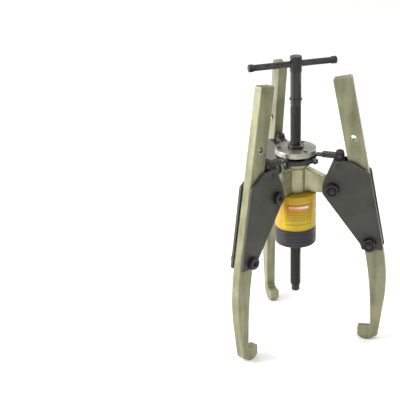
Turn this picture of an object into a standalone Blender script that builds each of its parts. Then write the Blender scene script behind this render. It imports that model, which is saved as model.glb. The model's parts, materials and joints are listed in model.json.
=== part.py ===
"""Three-jaw gear puller with a hollow-plunger hydraulic cylinder and a ring that keeps its jaws in step.

The model's origin is the flat end of the screw's point, the screw's axis is Z, and jaw 1 lies along +X.
Sizes are in metres and angles in degrees. Heights are measured up from the floor the three hooks stand
on, and radii outwards from the screw's axis; level() turns a height into the model's Z.
"""
import bpy
import bmesh
from math import atan2, ceil, cos, degrees, hypot, pi, radians, sin, sqrt, tan
from mathutils import Matrix, Vector

# ---- the whole tool
point_height = 0.085            # flat end of the screw's point above the floor
jaw_count = 3
gap = 0.0003                    # clearance between pieces that touch, turn or slide on each other

# ---- jaws: a forged bar between two plates that swing on the head's ear
pivot_radius = 0.0662           # ear pivot from the screw's axis
pivot_height = 0.2916
jaw_bolt_out = 0.066            # lower jaw bolt, outwards from the ear pivot
jaw_bolt_drop = 0.098
bar_thickness = 0.017
bar_width = 0.032
bar_lean = 11.1                 # tilt of the straight part, top towards the screw
bar_rise = 0.3007               # from the jaw bolt's level to the top, along the bar
bar_offset = 0.0039             # centre line outside the jaw bolt
bar_top_round = 0.003
bar_edge = 0.0015
inner_bend_drop = 0.066         # where the bar's edges turn upright, below the jaw bolt
outer_bend_drop = 0.0715
inner_bend = 0.65
outer_bend = 0.34
throat_radius = 0.137           # upright edge above the toe, from the screw's axis
throat_round = 0.005
toe_radius = 0.1138             # end of the toe, from the screw's axis
toe_height = 0.024
toe_lip = 0.0065                # underside of the toe's end
foot_inner = 0.123              # flat the jaw stands on
foot_outer = 0.134
heel_radius = 0.1505
heel_height = 0.009
heel_round = 0.012
foot_rounds = (0.008, 0.007)    # outer and inner
toe_rounds = (0.003, 0.0015)    # under and on top of the toe's end
store_hole = 0.0053             # radius of the hole near the top of the bar
store_rise = 0.194              # its distance above the jaw bolt, along the bar

# ---- side plates
plate_thickness = 0.0055
plate_round = 0.006
lug_low = 0.0095                # the lug's corners below and above the ear pivot
lug_high = 0.008
shoulder_rounds = (0.0025, 0.012)
plate_back_round = 0.005
plate_foot_round = 0.003
plate_foot_slope = 0.002        # outer corner above the inner one
lug_width = 0.0175              # plate in front of the ear pivot
shoulder_height = 0.3438        # top edge of the plates
shoulder_inner = 0.066
shoulder_outer = 0.098
plate_back_radius = 0.1295      # upper outer corner
plate_back_height = 0.3245
plate_foot_outer = 0.156        # lower outer corner
plate_foot_inner = 0.119
plate_foot_height = 0.181
plate_knee_radius = 0.1155      # corner above the lower inner one
plate_knee_height = 0.192
spacer_height = 0.309           # block inside the far plate that backs the bar
spacer_rise = 0.013
spacer_inner = 0.080
spacer_round = 0.001

# ---- jaw bolts and nuts
bolt_radius = 0.007
bolt_head_radius = 0.011
bolt_head_height = 0.0085
bolt_socket = 0.0055            # half of the hexagon socket's corner distance
bolt_socket_depth = 0.0045
nut_corner = 0.0127             # half of the nut's corner distance
nut_height = 0.009
bolt_tail = 0.002               # thread showing past a nut
head_chamfer = (0.93, 0.9)      # shares of a bolt head's radius and height
reach_through = 0.05            # length of a cutter that goes right through

# ---- head
ear_wall = 0.004                # ear around the pivot bolt
head_bottom = 0.281
barrel_wall = 0.0037
spigot_wall = 0.0055
spigot_length = 0.022
flange_radius = 0.026
flange_bottom = 0.3285
ear_bottom = 0.2814             # just above the head's lower face
ear_top = 0.3252                # where the ears' upper edges leave the barrel
neck_wall = 0.0022
ear_bite = 0.0008               # how far an ear's root stands inside the barrel's face
flange_chamfer = 0.002
flange_fillet = 0.003
full_round = 0.98               # share of a half width that rounds an end without closing it

# ---- ring that keeps the jaws in step
ring_bottom = 0.338
ring_radius = 0.0355
ring_thickness = 0.008
ring_web = 0.007                # from the neck's shoulder to the neck
slot_height = 0.0043            # space for the links between ring and disc
disc_thickness = 0.010
disc_edge = 0.001
pad_radius = 0.0055
screw_circle = 0.0285
screw_angle = 75.0              # first disc screw from jaw 1
disc_screw_radius = 0.0025
disc_screw_head = 0.0042
disc_screw_head_height = 0.0042
disc_screw_recess = 0.001       # end of the screw above the ring's lower face
disc_screw_socket = 0.0023
disc_screw_socket_depth = 0.002
neck_nut_radius = 0.014
neck_nut_height = 0.0045
stud_circle = 0.033
stud_lead = 8.0                 # link studs ahead of their jaws
stud_radius = 0.003
stud_depth = 0.0055             # thread in the disc
stud_nut_corner = 0.0060
stud_nut_height = 0.0065

# ---- links and the trunnions they pull
trunnion_out = 0.010            # from the ear pivot
trunnion_rise = 0.0425
trunnion_length = 0.014
trunnion_bottom = 0.327
trunnion_slack = 0.0001
trunnion_pin = 0.004
trunnion_rounds = (0.002, 0.0015)       # lower and upper edges
link_tongue = 0.0034            # thickness between ring and disc
link_tongue_radius = 0.0062
link_step = 0.013               # from the stud to the full section
link_height = 0.0085
link_rise = 0.0011              # middle of the full section above the tongue's
link_width = 0.0105
link_round = 0.0015
link_eye = 0.008
link_lift = 0.0015              # under the link's eye, for the trunnion's rise as the jaw opens
link_slack = 0.0013             # round the link bolt: this pivot is the open one of the linkage
link_bolt_radius = 0.004
link_bolt_head = 0.007
link_bolt_head_height = 0.0055
link_bolt_depth = 0.0105
link_socket = 0.0032
link_socket_depth = 0.003

# ---- cylinder
cylinder_radius = 0.036
cylinder_edge = 0.002
cylinder_roof = 0.009
bore_radius = 0.0275
collar_top = 0.2162
collar_bottom = 0.1843
collar_thread = 0.031
collar_lip = 0.004
collar_edge = 0.001
lip_clearance = 0.0009          # round the plunger
guide_gap = 0.001               # between the guide tube and the saddle
piston_clearance = 0.0005
guide_wall = 0.003
wiper_height = 0.0032
gland_height = 0.0139
piston_height = 0.0132
seal_height = 0.0044
seal_depth = 0.0028
plunger_radius = 0.0222
saddle_height = 0.0154
saddle_radius = 0.0177
spring_wire = 0.0024
spring_turns = 4
port_height = 0.255
port_radius = 0.006
port_overrun = 0.002            # of the port's cutter at both ends
port_stub = 0.001               # end of the coupler's stub short of the bore
coupler_hex = 0.011
coupler_hex_length = 0.008
coupler_radius = 0.0092
coupler_length = 0.024
coupler_edge = 0.002
coupler_waist = 0.0015          # groove between the hexagon and the sleeve
sleeve_start = 0.006            # from the hexagon
waist_end = 0.005
hex_overlap = 0.002
cap_wall = 0.002
cap_length = 0.020
cap_end = 0.003
cap_edge = 0.001

# ---- screw and T-bar
screw_radius = 0.0095
screw_bore = 0.001              # clearance round the screw in the head and cylinder
thread_clearance = 0.0003
screw_top = 0.5216
screw_head_radius = 0.0102
screw_head_length = 0.027
screw_edge = 0.0015
rod_ring_height = 0.445
rod_ring_radius = 0.0112
rod_ring_length = 0.004
rod_ring_edge = 0.0005
head_taper = 0.001              # under the screw's head
nose_height = 0.012
nose_radius = 0.0075
nose_taper = 0.0015
nose_flat = 0.0065
nose_pin = 0.0035
nose_pin_length = 0.011
bar_level = 0.508               # T-bar's axis
tbar_angle = 28.5
tbar_radius = 0.0055
tbar_length = 0.155
tbar_rest = -0.0055             # its middle at rest, along its axis from the screw
tbar_cap_radius = 0.0066
tbar_cap_length = 0.009
tbar_cap_end = 0.002
tbar_cap_edge = 0.001


def level(height):
    return height - point_height


# ---- sizes that follow from the ones above
ear_radius = bolt_radius + gap + ear_wall
plate_inner_face = bar_thickness / 2 + gap
plate_outer_face = plate_inner_face + plate_thickness
jaw_bolt_radius = pivot_radius + jaw_bolt_out
jaw_bolt_height = pivot_height - jaw_bolt_drop
screw_hole = screw_radius + screw_bore
spigot_radius = screw_hole + spigot_wall
barrel_radius = spigot_radius + gap + barrel_wall
neck_radius = screw_hole + neck_wall
shoulder_radius = neck_radius + ring_web
ring_top = ring_bottom + ring_thickness
disc_bottom = ring_top + slot_height
disc_top = disc_bottom + disc_thickness
neck_top = disc_top + gap + neck_nut_height
cylinder_top = head_bottom - 2 * gap
trunnion_radius = pivot_radius + trunnion_out
trunnion_height = pivot_height + trunnion_rise
link_middle = ring_top + slot_height / 2
link_bottom = link_middle - link_height / 2 + link_rise
trunnion_top = link_bottom - link_lift
link_top = link_bottom + link_height


# ---- collections, materials and small helpers
for old in list(bpy.data.objects):
    bpy.data.objects.remove(old, do_unlink=True)

parts = bpy.data.collections.new("gear_puller")
cutters = bpy.data.collections.new("cutters")
bpy.context.scene.collection.children.link(parts)
bpy.context.scene.collection.children.link(cutters)


def material(name, colour, metallic, roughness):
    finish = bpy.data.materials.new(name)
    finish.use_nodes = True
    shader = finish.node_tree.nodes["Principled BSDF"]
    shader.inputs["Base Color"].default_value = (*colour, 1)
    shader.inputs["Metallic"].default_value = metallic
    shader.inputs["Roughness"].default_value = roughness
    finish.diffuse_color = (*colour, 1)
    return finish


plated_steel = material("plated_steel", (0.36, 0.36, 0.25), 0.8, 0.4)
plate_steel = material("plate_steel", (0.055, 0.055, 0.048), 0.5, 0.5)
black_steel = material("black_steel", (0.025, 0.025, 0.028), 0.7, 0.4)
bright_steel = material("bright_steel", (0.55, 0.55, 0.50), 1.0, 0.3)
yellow_paint = material("yellow_paint", (0.62, 0.36, 0.02), 0.0, 0.35)
seal_rubber = material("seal_rubber", (0.02, 0.02, 0.02), 0.0, 0.8)


def stand_in_scene(name, mesh):
    """A working object: a cutter, or a blank that is made a plain mesh."""
    blank = bpy.data.objects.new(name, mesh)
    blank.hide_render = True
    blank.display_type = 'WIRE'
    cutters.objects.link(blank)
    return blank


def settle(blank, turn=Matrix.Identity(4)):
    """The plain, welded mesh of a blank with its modifiers; the blank is removed."""
    bpy.context.view_layer.update()
    depsgraph = bpy.context.evaluated_depsgraph_get()
    mesh = bpy.data.meshes.new_from_object(blank.evaluated_get(depsgraph))
    shape = bmesh.new()
    shape.from_mesh(mesh)
    shape.transform(turn)
    bmesh.ops.remove_doubles(shape, verts=shape.verts, dist=0.000002)
    bmesh.ops.dissolve_limit(shape, angle_limit=radians(0.2), verts=shape.verts, edges=shape.edges)
    shape.to_mesh(mesh)
    shape.free()
    mesh.shade_smooth()
    mesh.set_sharp_from_angle(angle=radians(30))
    bpy.data.objects.remove(blank, do_unlink=True)
    return mesh


def place(name, mesh, finish, parent=None, location=(0, 0, 0), turn=0.0):
    """A finished piece, under its parent, turned about Z by an angle in degrees."""
    piece = bpy.data.objects.new(name, mesh)
    if not mesh.materials:
        mesh.materials.append(finish)
    parts.objects.link(piece)
    piece.parent = parent
    piece.location = location
    piece.rotation_euler = (0, 0, radians(turn))
    return piece


def axis_frame(name, parent=None, location=(0, 0, 0), turn=0.0):
    """An empty on a joint's axis, which carries the pieces that move with it."""
    frame = bpy.data.objects.new(name, None)
    frame.empty_display_size = 0.02
    parts.objects.link(frame)
    frame.parent = parent
    frame.location = location
    frame.rotation_euler = (0, 0, radians(turn))
    return frame


def cut(target, tool, operation='DIFFERENCE'):
    modifier = target.modifiers.new(operation.title(), 'BOOLEAN')
    modifier.operation = operation
    modifier.solver = 'EXACT'
    modifier.object = tool


def soften(target, width, segments=1):
    modifier = target.modifiers.new("Bevel", 'BEVEL')
    modifier.width = width
    modifier.segments = segments
    modifier.limit_method = 'ANGLE'
    modifier.angle_limit = radians(40)


def rounded(corners, finest=radians(18), longest=0.02):
    """Points of a closed outline; each corner (x, y, radius) is rounded by an arc."""
    outline = []
    for index, (x, y, radius) in enumerate(corners):
        here = Vector((x, y))
        if radius == 0:
            outline.append(here)
            continue
        before = (Vector(corners[index - 1][:2]) - here).normalized()
        after = (Vector(corners[(index + 1) % len(corners)][:2]) - here).normalized()
        opening = before.angle(after)
        turn = pi - opening
        centre = here + (before + after).normalized() * (radius / sin(opening / 2))
        first = here + before * (radius / tan(opening / 2)) - centre
        last = here + after * (radius / tan(opening / 2)) - centre
        steps = max(ceil(turn / finest), ceil(turn * radius / longest))
        for step in range(steps + 1):
            share = step / steps
            spoke = (first * sin((1 - share) * turn) + last * sin(share * turn)) / sin(turn)
            outline.append(centre + spoke)
    return outline


def sheet(name, corners, thickness, upright=True):
    """A blank cut from sheet: outline in X and Z with its thickness along Y, or flat in X and Y."""
    curve = bpy.data.curves.new(name, 'CURVE')
    curve.dimensions = '2D'
    curve.fill_mode = 'BOTH'
    curve.extrude = thickness / 2
    outline = rounded(corners)
    spline = curve.splines.new('POLY')
    spline.points.add(len(outline) - 1)
    for point, place_on in zip(spline.points, outline):
        point.co = (place_on.x, place_on.y, 0, 1)
    spline.use_cyclic_u = True
    turn = Matrix.Rotation(pi / 2, 4, 'X') if upright else Matrix.Identity(4)
    return stand_in_scene(name, settle(stand_in_scene(name, curve), turn))


def turned(name, profile, hollow=False, steps=24):
    """A blank turned about Z: (radius, z) pairs down the outside, and up the bore if it is hollow."""
    shape = bmesh.new()
    points = [shape.verts.new((radius, 0, z)) for radius, z in profile]
    for upper, lower in zip(points, points[1:]):
        shape.edges.new((upper, lower))
    if hollow:
        shape.edges.new((points[-1], points[0]))
    mesh = bpy.data.meshes.new(name)
    shape.to_mesh(mesh)
    shape.free()
    blank = stand_in_scene(name, mesh)
    screw = blank.modifiers.new("Screw", 'SCREW')
    screw.axis = 'Z'
    screw.steps = steps
    screw.render_steps = steps
    screw.use_merge_vertices = True
    screw.merge_threshold = 0.00001
    return blank


def rods(name, bars, segments=16):
    """A blank of separate round bars: (centre, axis, radius, length) each; 6 segments is a hexagon."""
    shape = bmesh.new()
    for centre, axis, radius, length in bars:
        turn = Vector((0, 0, 1)).rotation_difference(Vector(axis)).to_matrix().to_4x4()
        matrix = Matrix.Translation(Vector(centre)) @ turn
        bmesh.ops.create_cone(shape, cap_ends=True, segments=segments, radius1=radius,
                              radius2=radius, depth=length, matrix=matrix)
    mesh = bpy.data.meshes.new(name)
    shape.to_mesh(mesh)
    shape.free()
    return stand_in_scene(name, mesh)


def around(count, start=0.0):
    return [start + 360.0 / count * index for index in range(count)]


def polar(radius, angle, height):
    return (radius * cos(radians(angle)), radius * sin(radians(angle)), level(height))


def socket_bolt(name, shank, length, head, head_height, socket, socket_depth, steps=16):
    """Socket-head bolt along Z: seat of the head at the origin, shank downwards."""
    bolt = turned(name, [(0, head_height), (head * head_chamfer[0], head_height),
                         (head, head_height * head_chamfer[1]),
                         (head, 0), (shank, 0), (shank, -length), (0, -length)], steps=steps)
    recess = rods(name + "_socket", [((0, 0, head_height), (0, 0, 1), socket, 2 * socket_depth)], 6)
    cut(bolt, recess)
    mesh = settle(bolt)
    return mesh


def hex_nut(name, corner, height, hole, steps=16):
    """Hexagon nut along Z, its seat at the origin."""
    nut = rods(name, [((0, 0, height / 2), (0, 0, 1), corner, height)], 6)
    bore = rods(name + "_bore", [((0, 0, height / 2), (0, 0, 1), hole, 2 * height)], steps)
    cut(nut, bore)
    return settle(nut)


# ---- head block: barrel, flange, stepped neck and three ears
def head_block():
    bolt_hole = bolt_radius + gap
    spigot_hole = spigot_radius + gap
    spigot_top = head_bottom + spigot_length + gap
    head = turned("head_blank", [
        (neck_radius, level(neck_top)),
        (neck_radius, level(disc_bottom - gap)),
        (shoulder_radius, level(disc_bottom - gap)),
        (shoulder_radius, level(ring_bottom - gap)),
        (flange_radius, level(ring_bottom - gap)),
        (flange_radius, level(flange_bottom + flange_chamfer)),
        (flange_radius - flange_chamfer, level(flange_bottom)),
        (barrel_radius, level(flange_bottom - flange_fillet)),
        (barrel_radius, level(head_bottom)),
        (spigot_hole, level(head_bottom)),
        (spigot_hole, level(spigot_top)),
        (screw_hole, level(spigot_top)),
        (screw_hole, level(neck_top)),
    ], hollow=True, steps=28)
    ear_root = sqrt(barrel_radius ** 2 - (bar_thickness / 2) ** 2) - ear_bite
    pivot_x = pivot_radius
    pivot_z = level(pivot_height)
    end_x = pivot_x + ear_radius
    rise = atan2(ear_top - pivot_height - ear_radius, pivot_radius - barrel_radius)
    ear = sheet("ear", [
        (ear_root, level(ear_bottom), 0),
        (end_x, level(ear_bottom), min(ear_radius, pivot_height - ear_bottom)),
        (end_x, pivot_z + ear_radius * (1 - sin(rise)) / cos(rise), ear_radius * full_round),
        (barrel_radius, level(ear_top), 0),
        (ear_root, level(ear_top), 0),
    ], bar_thickness)
    ears = bmesh.new()
    for angle in around(jaw_count):
        copy = ear.data.copy()
        copy.transform(Matrix.Rotation(radians(angle), 4, 'Z'))
        ears.from_mesh(copy)
        bpy.data.meshes.remove(copy)
    ears_mesh = bpy.data.meshes.new("ears")
    ears.to_mesh(ears_mesh)
    ears.free()
    bpy.data.objects.remove(ear, do_unlink=True)
    cut(head, stand_in_scene("ears", ears_mesh), 'UNION')
    bars = []
    for angle in around(jaw_count):
        tangent = (-sin(radians(angle)), cos(radians(angle)), 0)
        bars.append((polar(pivot_radius, angle, pivot_height), tangent, bolt_hole, 2 * bar_thickness))
    cut(head, rods("ear_bores", bars, 16))
    place("head_block", settle(head), plated_steel)
    nut = turned("neck_nut_blank", [
        (neck_nut_radius, level(neck_top)),
        (neck_nut_radius, level(disc_top + gap)),
        (neck_radius + gap, level(disc_top + gap)),
        (neck_radius + gap, level(neck_top)),
    ], hollow=True, steps=24)
    place("neck_nut", settle(nut), black_steel)


# ---- jaws, built about the ear pivot: X outwards, Y along the pivot, Z up
def jaw_point(radius, height):
    return (radius - pivot_radius, height - pivot_height)


def bar_point(up, out):
    """A place on the straight bar: up its centre line from the jaw bolt's level, and outwards."""
    lean = radians(bar_lean)
    x, z = jaw_point(jaw_bolt_radius, jaw_bolt_height)
    out = out + bar_offset
    return (x + out * cos(lean) - up * sin(lean), z + out * sin(lean) + up * cos(lean))


def bar_edge_at(height):
    """Where the bar's inner edge stands at a height, outwards from the ear pivot."""
    x, z = bar_point(0, -bar_width / 2)
    return x - (height - pivot_height - z) * tan(radians(bar_lean))


def jaw_bar(bores):
    corners = [
        (*bar_point(bar_rise, -bar_width / 2), bar_top_round),
        (*bar_point(bar_rise, bar_width / 2), bar_top_round),
        (*bar_point(-outer_bend_drop, bar_width / 2), outer_bend),
        (*jaw_point(heel_radius, heel_height), heel_round),
        (*jaw_point(foot_outer, 0), foot_rounds[0]),
        (*jaw_point(foot_inner, 0), foot_rounds[1]),
        (*jaw_point(toe_radius, toe_lip), toe_rounds[0]),
        (*jaw_point(toe_radius, toe_height), toe_rounds[1]),
        (*jaw_point(throat_radius, toe_height), throat_round),
        (*bar_point(-inner_bend_drop, -bar_width / 2), inner_bend),
    ]
    bar = sheet("jaw_bar_blank", corners, bar_thickness)
    soften(bar, bar_edge)
    cut(bar, bores)
    return settle(bar)


def plate_corners():
    lug = pivot_radius - lug_width
    return [
        (*jaw_point(lug, pivot_height - lug_low), plate_round),
        (*jaw_point(lug, pivot_height + lug_high), plate_round),
        (*jaw_point(shoulder_inner, shoulder_height), shoulder_rounds[0]),
        (*jaw_point(shoulder_outer, shoulder_height), shoulder_rounds[1]),
        (*jaw_point(plate_back_radius, plate_back_height), plate_back_round),
        (*jaw_point(plate_foot_outer, plate_foot_height + plate_foot_slope), plate_foot_round),
        (*jaw_point(plate_foot_inner, plate_foot_height), plate_foot_round),
        (*jaw_point(plate_knee_radius, plate_knee_height), plate_round),
    ]


def side_plates(bores):
    centre = plate_inner_face + plate_thickness / 2
    near = sheet("near_blank", plate_corners(), plate_thickness)
    near.data.transform(Matrix.Translation((0, -centre, 0)))
    cut(near, bores)
    far = sheet("far_blank", plate_corners(), plate_thickness)
    far.data.transform(Matrix.Translation((0, centre, 0)))
    spacer_top = spacer_height + spacer_rise
    block = sheet("spacer", [
        (*jaw_point(spacer_inner, spacer_height), spacer_round),
        (bar_edge_at(spacer_height) - gap, spacer_height - pivot_height, 0),
        (bar_edge_at(spacer_top) - gap, spacer_top - pivot_height, 0),
        (*jaw_point(spacer_inner, spacer_top), spacer_round),
    ], bar_thickness + gap + plate_thickness / 2)
    block.data.transform(Matrix.Translation((0, (gap + plate_thickness / 2) / 2, 0)))
    cut(far, block, 'UNION')
    cut(far, bores)
    return settle(near), settle(far)


def trunnion():
    half_width = plate_inner_face - gap - trunnion_slack
    top = trunnion_top - trunnion_height
    bottom = trunnion_bottom - trunnion_height
    half = trunnion_length / 2
    block = sheet("trunnion_blank", [
        (-half, bottom, trunnion_rounds[0]), (half, bottom, trunnion_rounds[0]),
        (half, top, trunnion_rounds[1]), (-half, top, trunnion_rounds[1]),
    ], 2 * half_width)
    pin = rods("trunnion_pin", [((0, 0, 0), (0, 1, 0), trunnion_pin, 2 * plate_outer_face - gap)])
    cut(block, pin, 'UNION')
    thread = rods("trunnion_thread", [((0, 0, top), (0, 0, 1), link_bolt_radius + gap,
                                       2 * (link_bolt_depth + gap))])
    cut(block, thread)
    return settle(block)


def jaws():
    bolt_x = jaw_bolt_out
    bolt_z = -jaw_bolt_drop
    store_x, store_z = bar_point(store_rise, 0)
    through = 4 * plate_outer_face
    bores = rods("jaw_bores", [
        ((0, 0, 0), (0, 1, 0), bolt_radius + gap, through),
        ((bolt_x, 0, bolt_z), (0, 1, 0), bolt_radius + gap, through),
        ((trunnion_out, 0, trunnion_rise), (0, 1, 0), trunnion_pin + gap, through),
        ((store_x, 0, store_z), (0, 1, 0), store_hole, through),
    ], 16)
    bar_mesh = jaw_bar(bores)
    near_mesh, far_mesh = side_plates(bores)
    trunnion_mesh = trunnion()
    seat = plate_outer_face + gap
    shank = 2 * seat + nut_height + bolt_tail
    bolt_mesh = socket_bolt("jaw_bolt_blank", bolt_radius, shank, bolt_head_radius,
                            bolt_head_height, bolt_socket, bolt_socket_depth)
    bolt_mesh.transform(Matrix.Translation((0, seat, 0)) @ Matrix.Rotation(-pi / 2, 4, 'X'))
    nut_mesh = hex_nut("jaw_nut_blank", nut_corner, nut_height, bolt_radius + gap)
    nut_mesh.transform(Matrix.Translation((0, -seat, 0)) @ Matrix.Rotation(pi / 2, 4, 'X'))
    link_reach = link_top + gap - trunnion_top + link_bolt_depth
    link_bolt_mesh = socket_bolt("link_bolt_blank", link_bolt_radius, link_reach, link_bolt_head,
                                 link_bolt_head_height, link_socket, link_socket_depth)
    link_bolt_mesh.transform(Matrix.Translation((0, 0, link_top + gap - trunnion_height)))
    for number, angle in enumerate(around(jaw_count), 1):
        pivot = axis_frame(f"jaw_{number}_pivot", None, polar(pivot_radius, angle, pivot_height), angle)
        place(f"jaw_bar_{number}", bar_mesh, plated_steel, pivot)
        place(f"near_plate_{number}", near_mesh, plate_steel, pivot)
        place(f"far_plate_{number}", far_mesh, plate_steel, pivot)
        place(f"pivot_bolt_{number}", bolt_mesh, black_steel, pivot)
        place(f"pivot_nut_{number}", nut_mesh, black_steel, pivot)
        place(f"jaw_bolt_{number}", bolt_mesh, black_steel, pivot, (bolt_x, 0, bolt_z))
        place(f"jaw_nut_{number}", nut_mesh, black_steel, pivot, (bolt_x, 0, bolt_z))
        swivel = axis_frame(f"trunnion_{number}_pivot", pivot, (trunnion_out, 0, trunnion_rise))
        place(f"trunnion_{number}", trunnion_mesh, black_steel, swivel)
        place(f"link_bolt_{number}", link_bolt_mesh, black_steel, swivel)


# ---- ring, disc, studs and links
def link_span():
    """Length of a link, from its stud to its trunnion, and its direction from the jaw's own."""
    across = stud_circle * sin(radians(stud_lead))
    along = trunnion_radius - stud_circle * cos(radians(stud_lead))
    return hypot(along, across), -degrees(atan2(across, along))


def link():
    length, _ = link_span()
    tongue_end = link_step + link_width / 2
    tongue = sheet("tongue", [
        (-link_tongue_radius, -link_tongue_radius, link_tongue_radius * full_round),
        (tongue_end, -link_tongue_radius, link_tongue_radius * 0.5),
        (tongue_end, link_tongue_radius, link_tongue_radius * 0.5),
        (-link_tongue_radius, link_tongue_radius, link_tongue_radius * full_round),
    ], link_tongue, upright=False)
    tongue.data.transform(Matrix.Translation((0, 0, level(link_middle))))
    half = link_width / 2
    bar = sheet("link_bar", [
        (link_step, -half, link_round), (length, -half, 0), (length, half, 0),
        (link_step, half, link_round),
    ], link_height, upright=False)
    bar.data.transform(Matrix.Translation((0, 0, level(link_bottom) + link_height / 2)))
    eye = rods("link_eye", [((length, 0, level(link_bottom) + link_height / 2), (0, 0, 1), link_eye,
                             link_height)], 24)
    cut(bar, eye, 'UNION')
    cut(bar, tongue, 'UNION')
    holes = rods("link_holes", [
        ((0, 0, level(link_middle)), (0, 0, 1), stud_radius + gap, reach_through),
        ((length, 0, level(link_middle)), (0, 0, 1), link_bolt_radius + link_slack, reach_through),
    ])
    cut(bar, holes)
    return settle(bar)


def ring_and_links():
    hub = axis_frame("sync_hub")
    stud_angles = around(jaw_count, stud_lead)
    screw_angles = around(3, screw_angle)
    up = (0, 0, 1)
    ring = turned("ring_blank", [
        (ring_radius, level(ring_top)),
        (ring_radius, level(ring_bottom)),
        (shoulder_radius + gap, level(ring_bottom)),
        (shoulder_radius + gap, level(ring_top)),
    ], hollow=True, steps=28)
    pad_height = ring_thickness / 2 + slot_height - gap
    pad_middle = ring_top - ring_thickness / 2 + pad_height / 2
    pads = rods("pads", [(polar(screw_circle, angle, pad_middle), up, pad_radius, pad_height)
                         for angle in screw_angles])
    cut(ring, pads, 'UNION')
    ring_holes = [(polar(stud_circle, angle, ring_bottom), up, stud_radius + gap, reach_through)
                  for angle in stud_angles]
    ring_holes += [(polar(screw_circle, angle, ring_bottom), up, disc_screw_radius + gap, reach_through)
                   for angle in screw_angles]
    cut(ring, rods("ring_holes", ring_holes, 16))
    place("sync_ring", settle(ring), black_steel, hub)

    disc = turned("disc_blank", [
        (ring_radius - disc_edge, level(disc_top)),
        (ring_radius, level(disc_top - disc_edge)),
        (ring_radius, level(disc_bottom + disc_edge)),
        (ring_radius - disc_edge, level(disc_bottom)),
        (neck_radius + gap, level(disc_bottom)),
        (neck_radius + gap, level(disc_top)),
    ], hollow=True, steps=28)
    disc_holes = [(polar(stud_circle, angle, disc_bottom), up, stud_radius + gap,
                   2 * (stud_depth + gap)) for angle in stud_angles]
    disc_holes += [(polar(screw_circle, angle, disc_bottom), up, disc_screw_radius + gap, reach_through)
                   for angle in screw_angles]
    cut(disc, rods("disc_holes", disc_holes, 16))
    seats = [(polar(screw_circle, angle, disc_top), up, disc_screw_head + gap,
              2 * (disc_screw_head_height + gap)) for angle in screw_angles]
    cut(disc, rods("disc_seats", seats, 16))
    place("sync_disc", settle(disc), bright_steel, hub)

    seat_height = disc_top - disc_screw_head_height
    screw_length = seat_height - ring_bottom - disc_screw_recess
    screw_mesh = socket_bolt("disc_screw_blank", disc_screw_radius, screw_length, disc_screw_head,
                             disc_screw_head_height, disc_screw_socket, disc_screw_socket_depth)
    for number, angle in enumerate(screw_angles, 1):
        place(f"disc_screw_{number}", screw_mesh, black_steel, hub,
              polar(screw_circle, angle, seat_height), angle)

    stud_top = disc_bottom + stud_depth
    nut_seat = ring_bottom - gap
    stud_bottom = nut_seat - stud_nut_height - bolt_tail
    stud_mesh = settle(rods("stud_blank", [((0, 0, (stud_top + stud_bottom) / 2 - nut_seat), up,
                                            stud_radius, stud_top - stud_bottom)], 16))
    nut_mesh = hex_nut("stud_nut_blank", stud_nut_corner, stud_nut_height, stud_radius + gap, 16)
    nut_mesh.transform(Matrix.Translation((0, 0, -stud_nut_height)))
    link_mesh = link()
    _, direction = link_span()
    for number, angle in enumerate(stud_angles, 1):
        seat = polar(stud_circle, angle, nut_seat)
        place(f"link_stud_{number}", stud_mesh, bright_steel, hub, seat, angle)
        place(f"stud_nut_{number}", nut_mesh, black_steel, hub, seat, angle)
        pin = axis_frame(f"link_{number}_pivot", hub, (seat[0], seat[1], 0), angle - stud_lead + direction)
        place(f"link_{number}", link_mesh, black_steel, pin)


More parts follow.
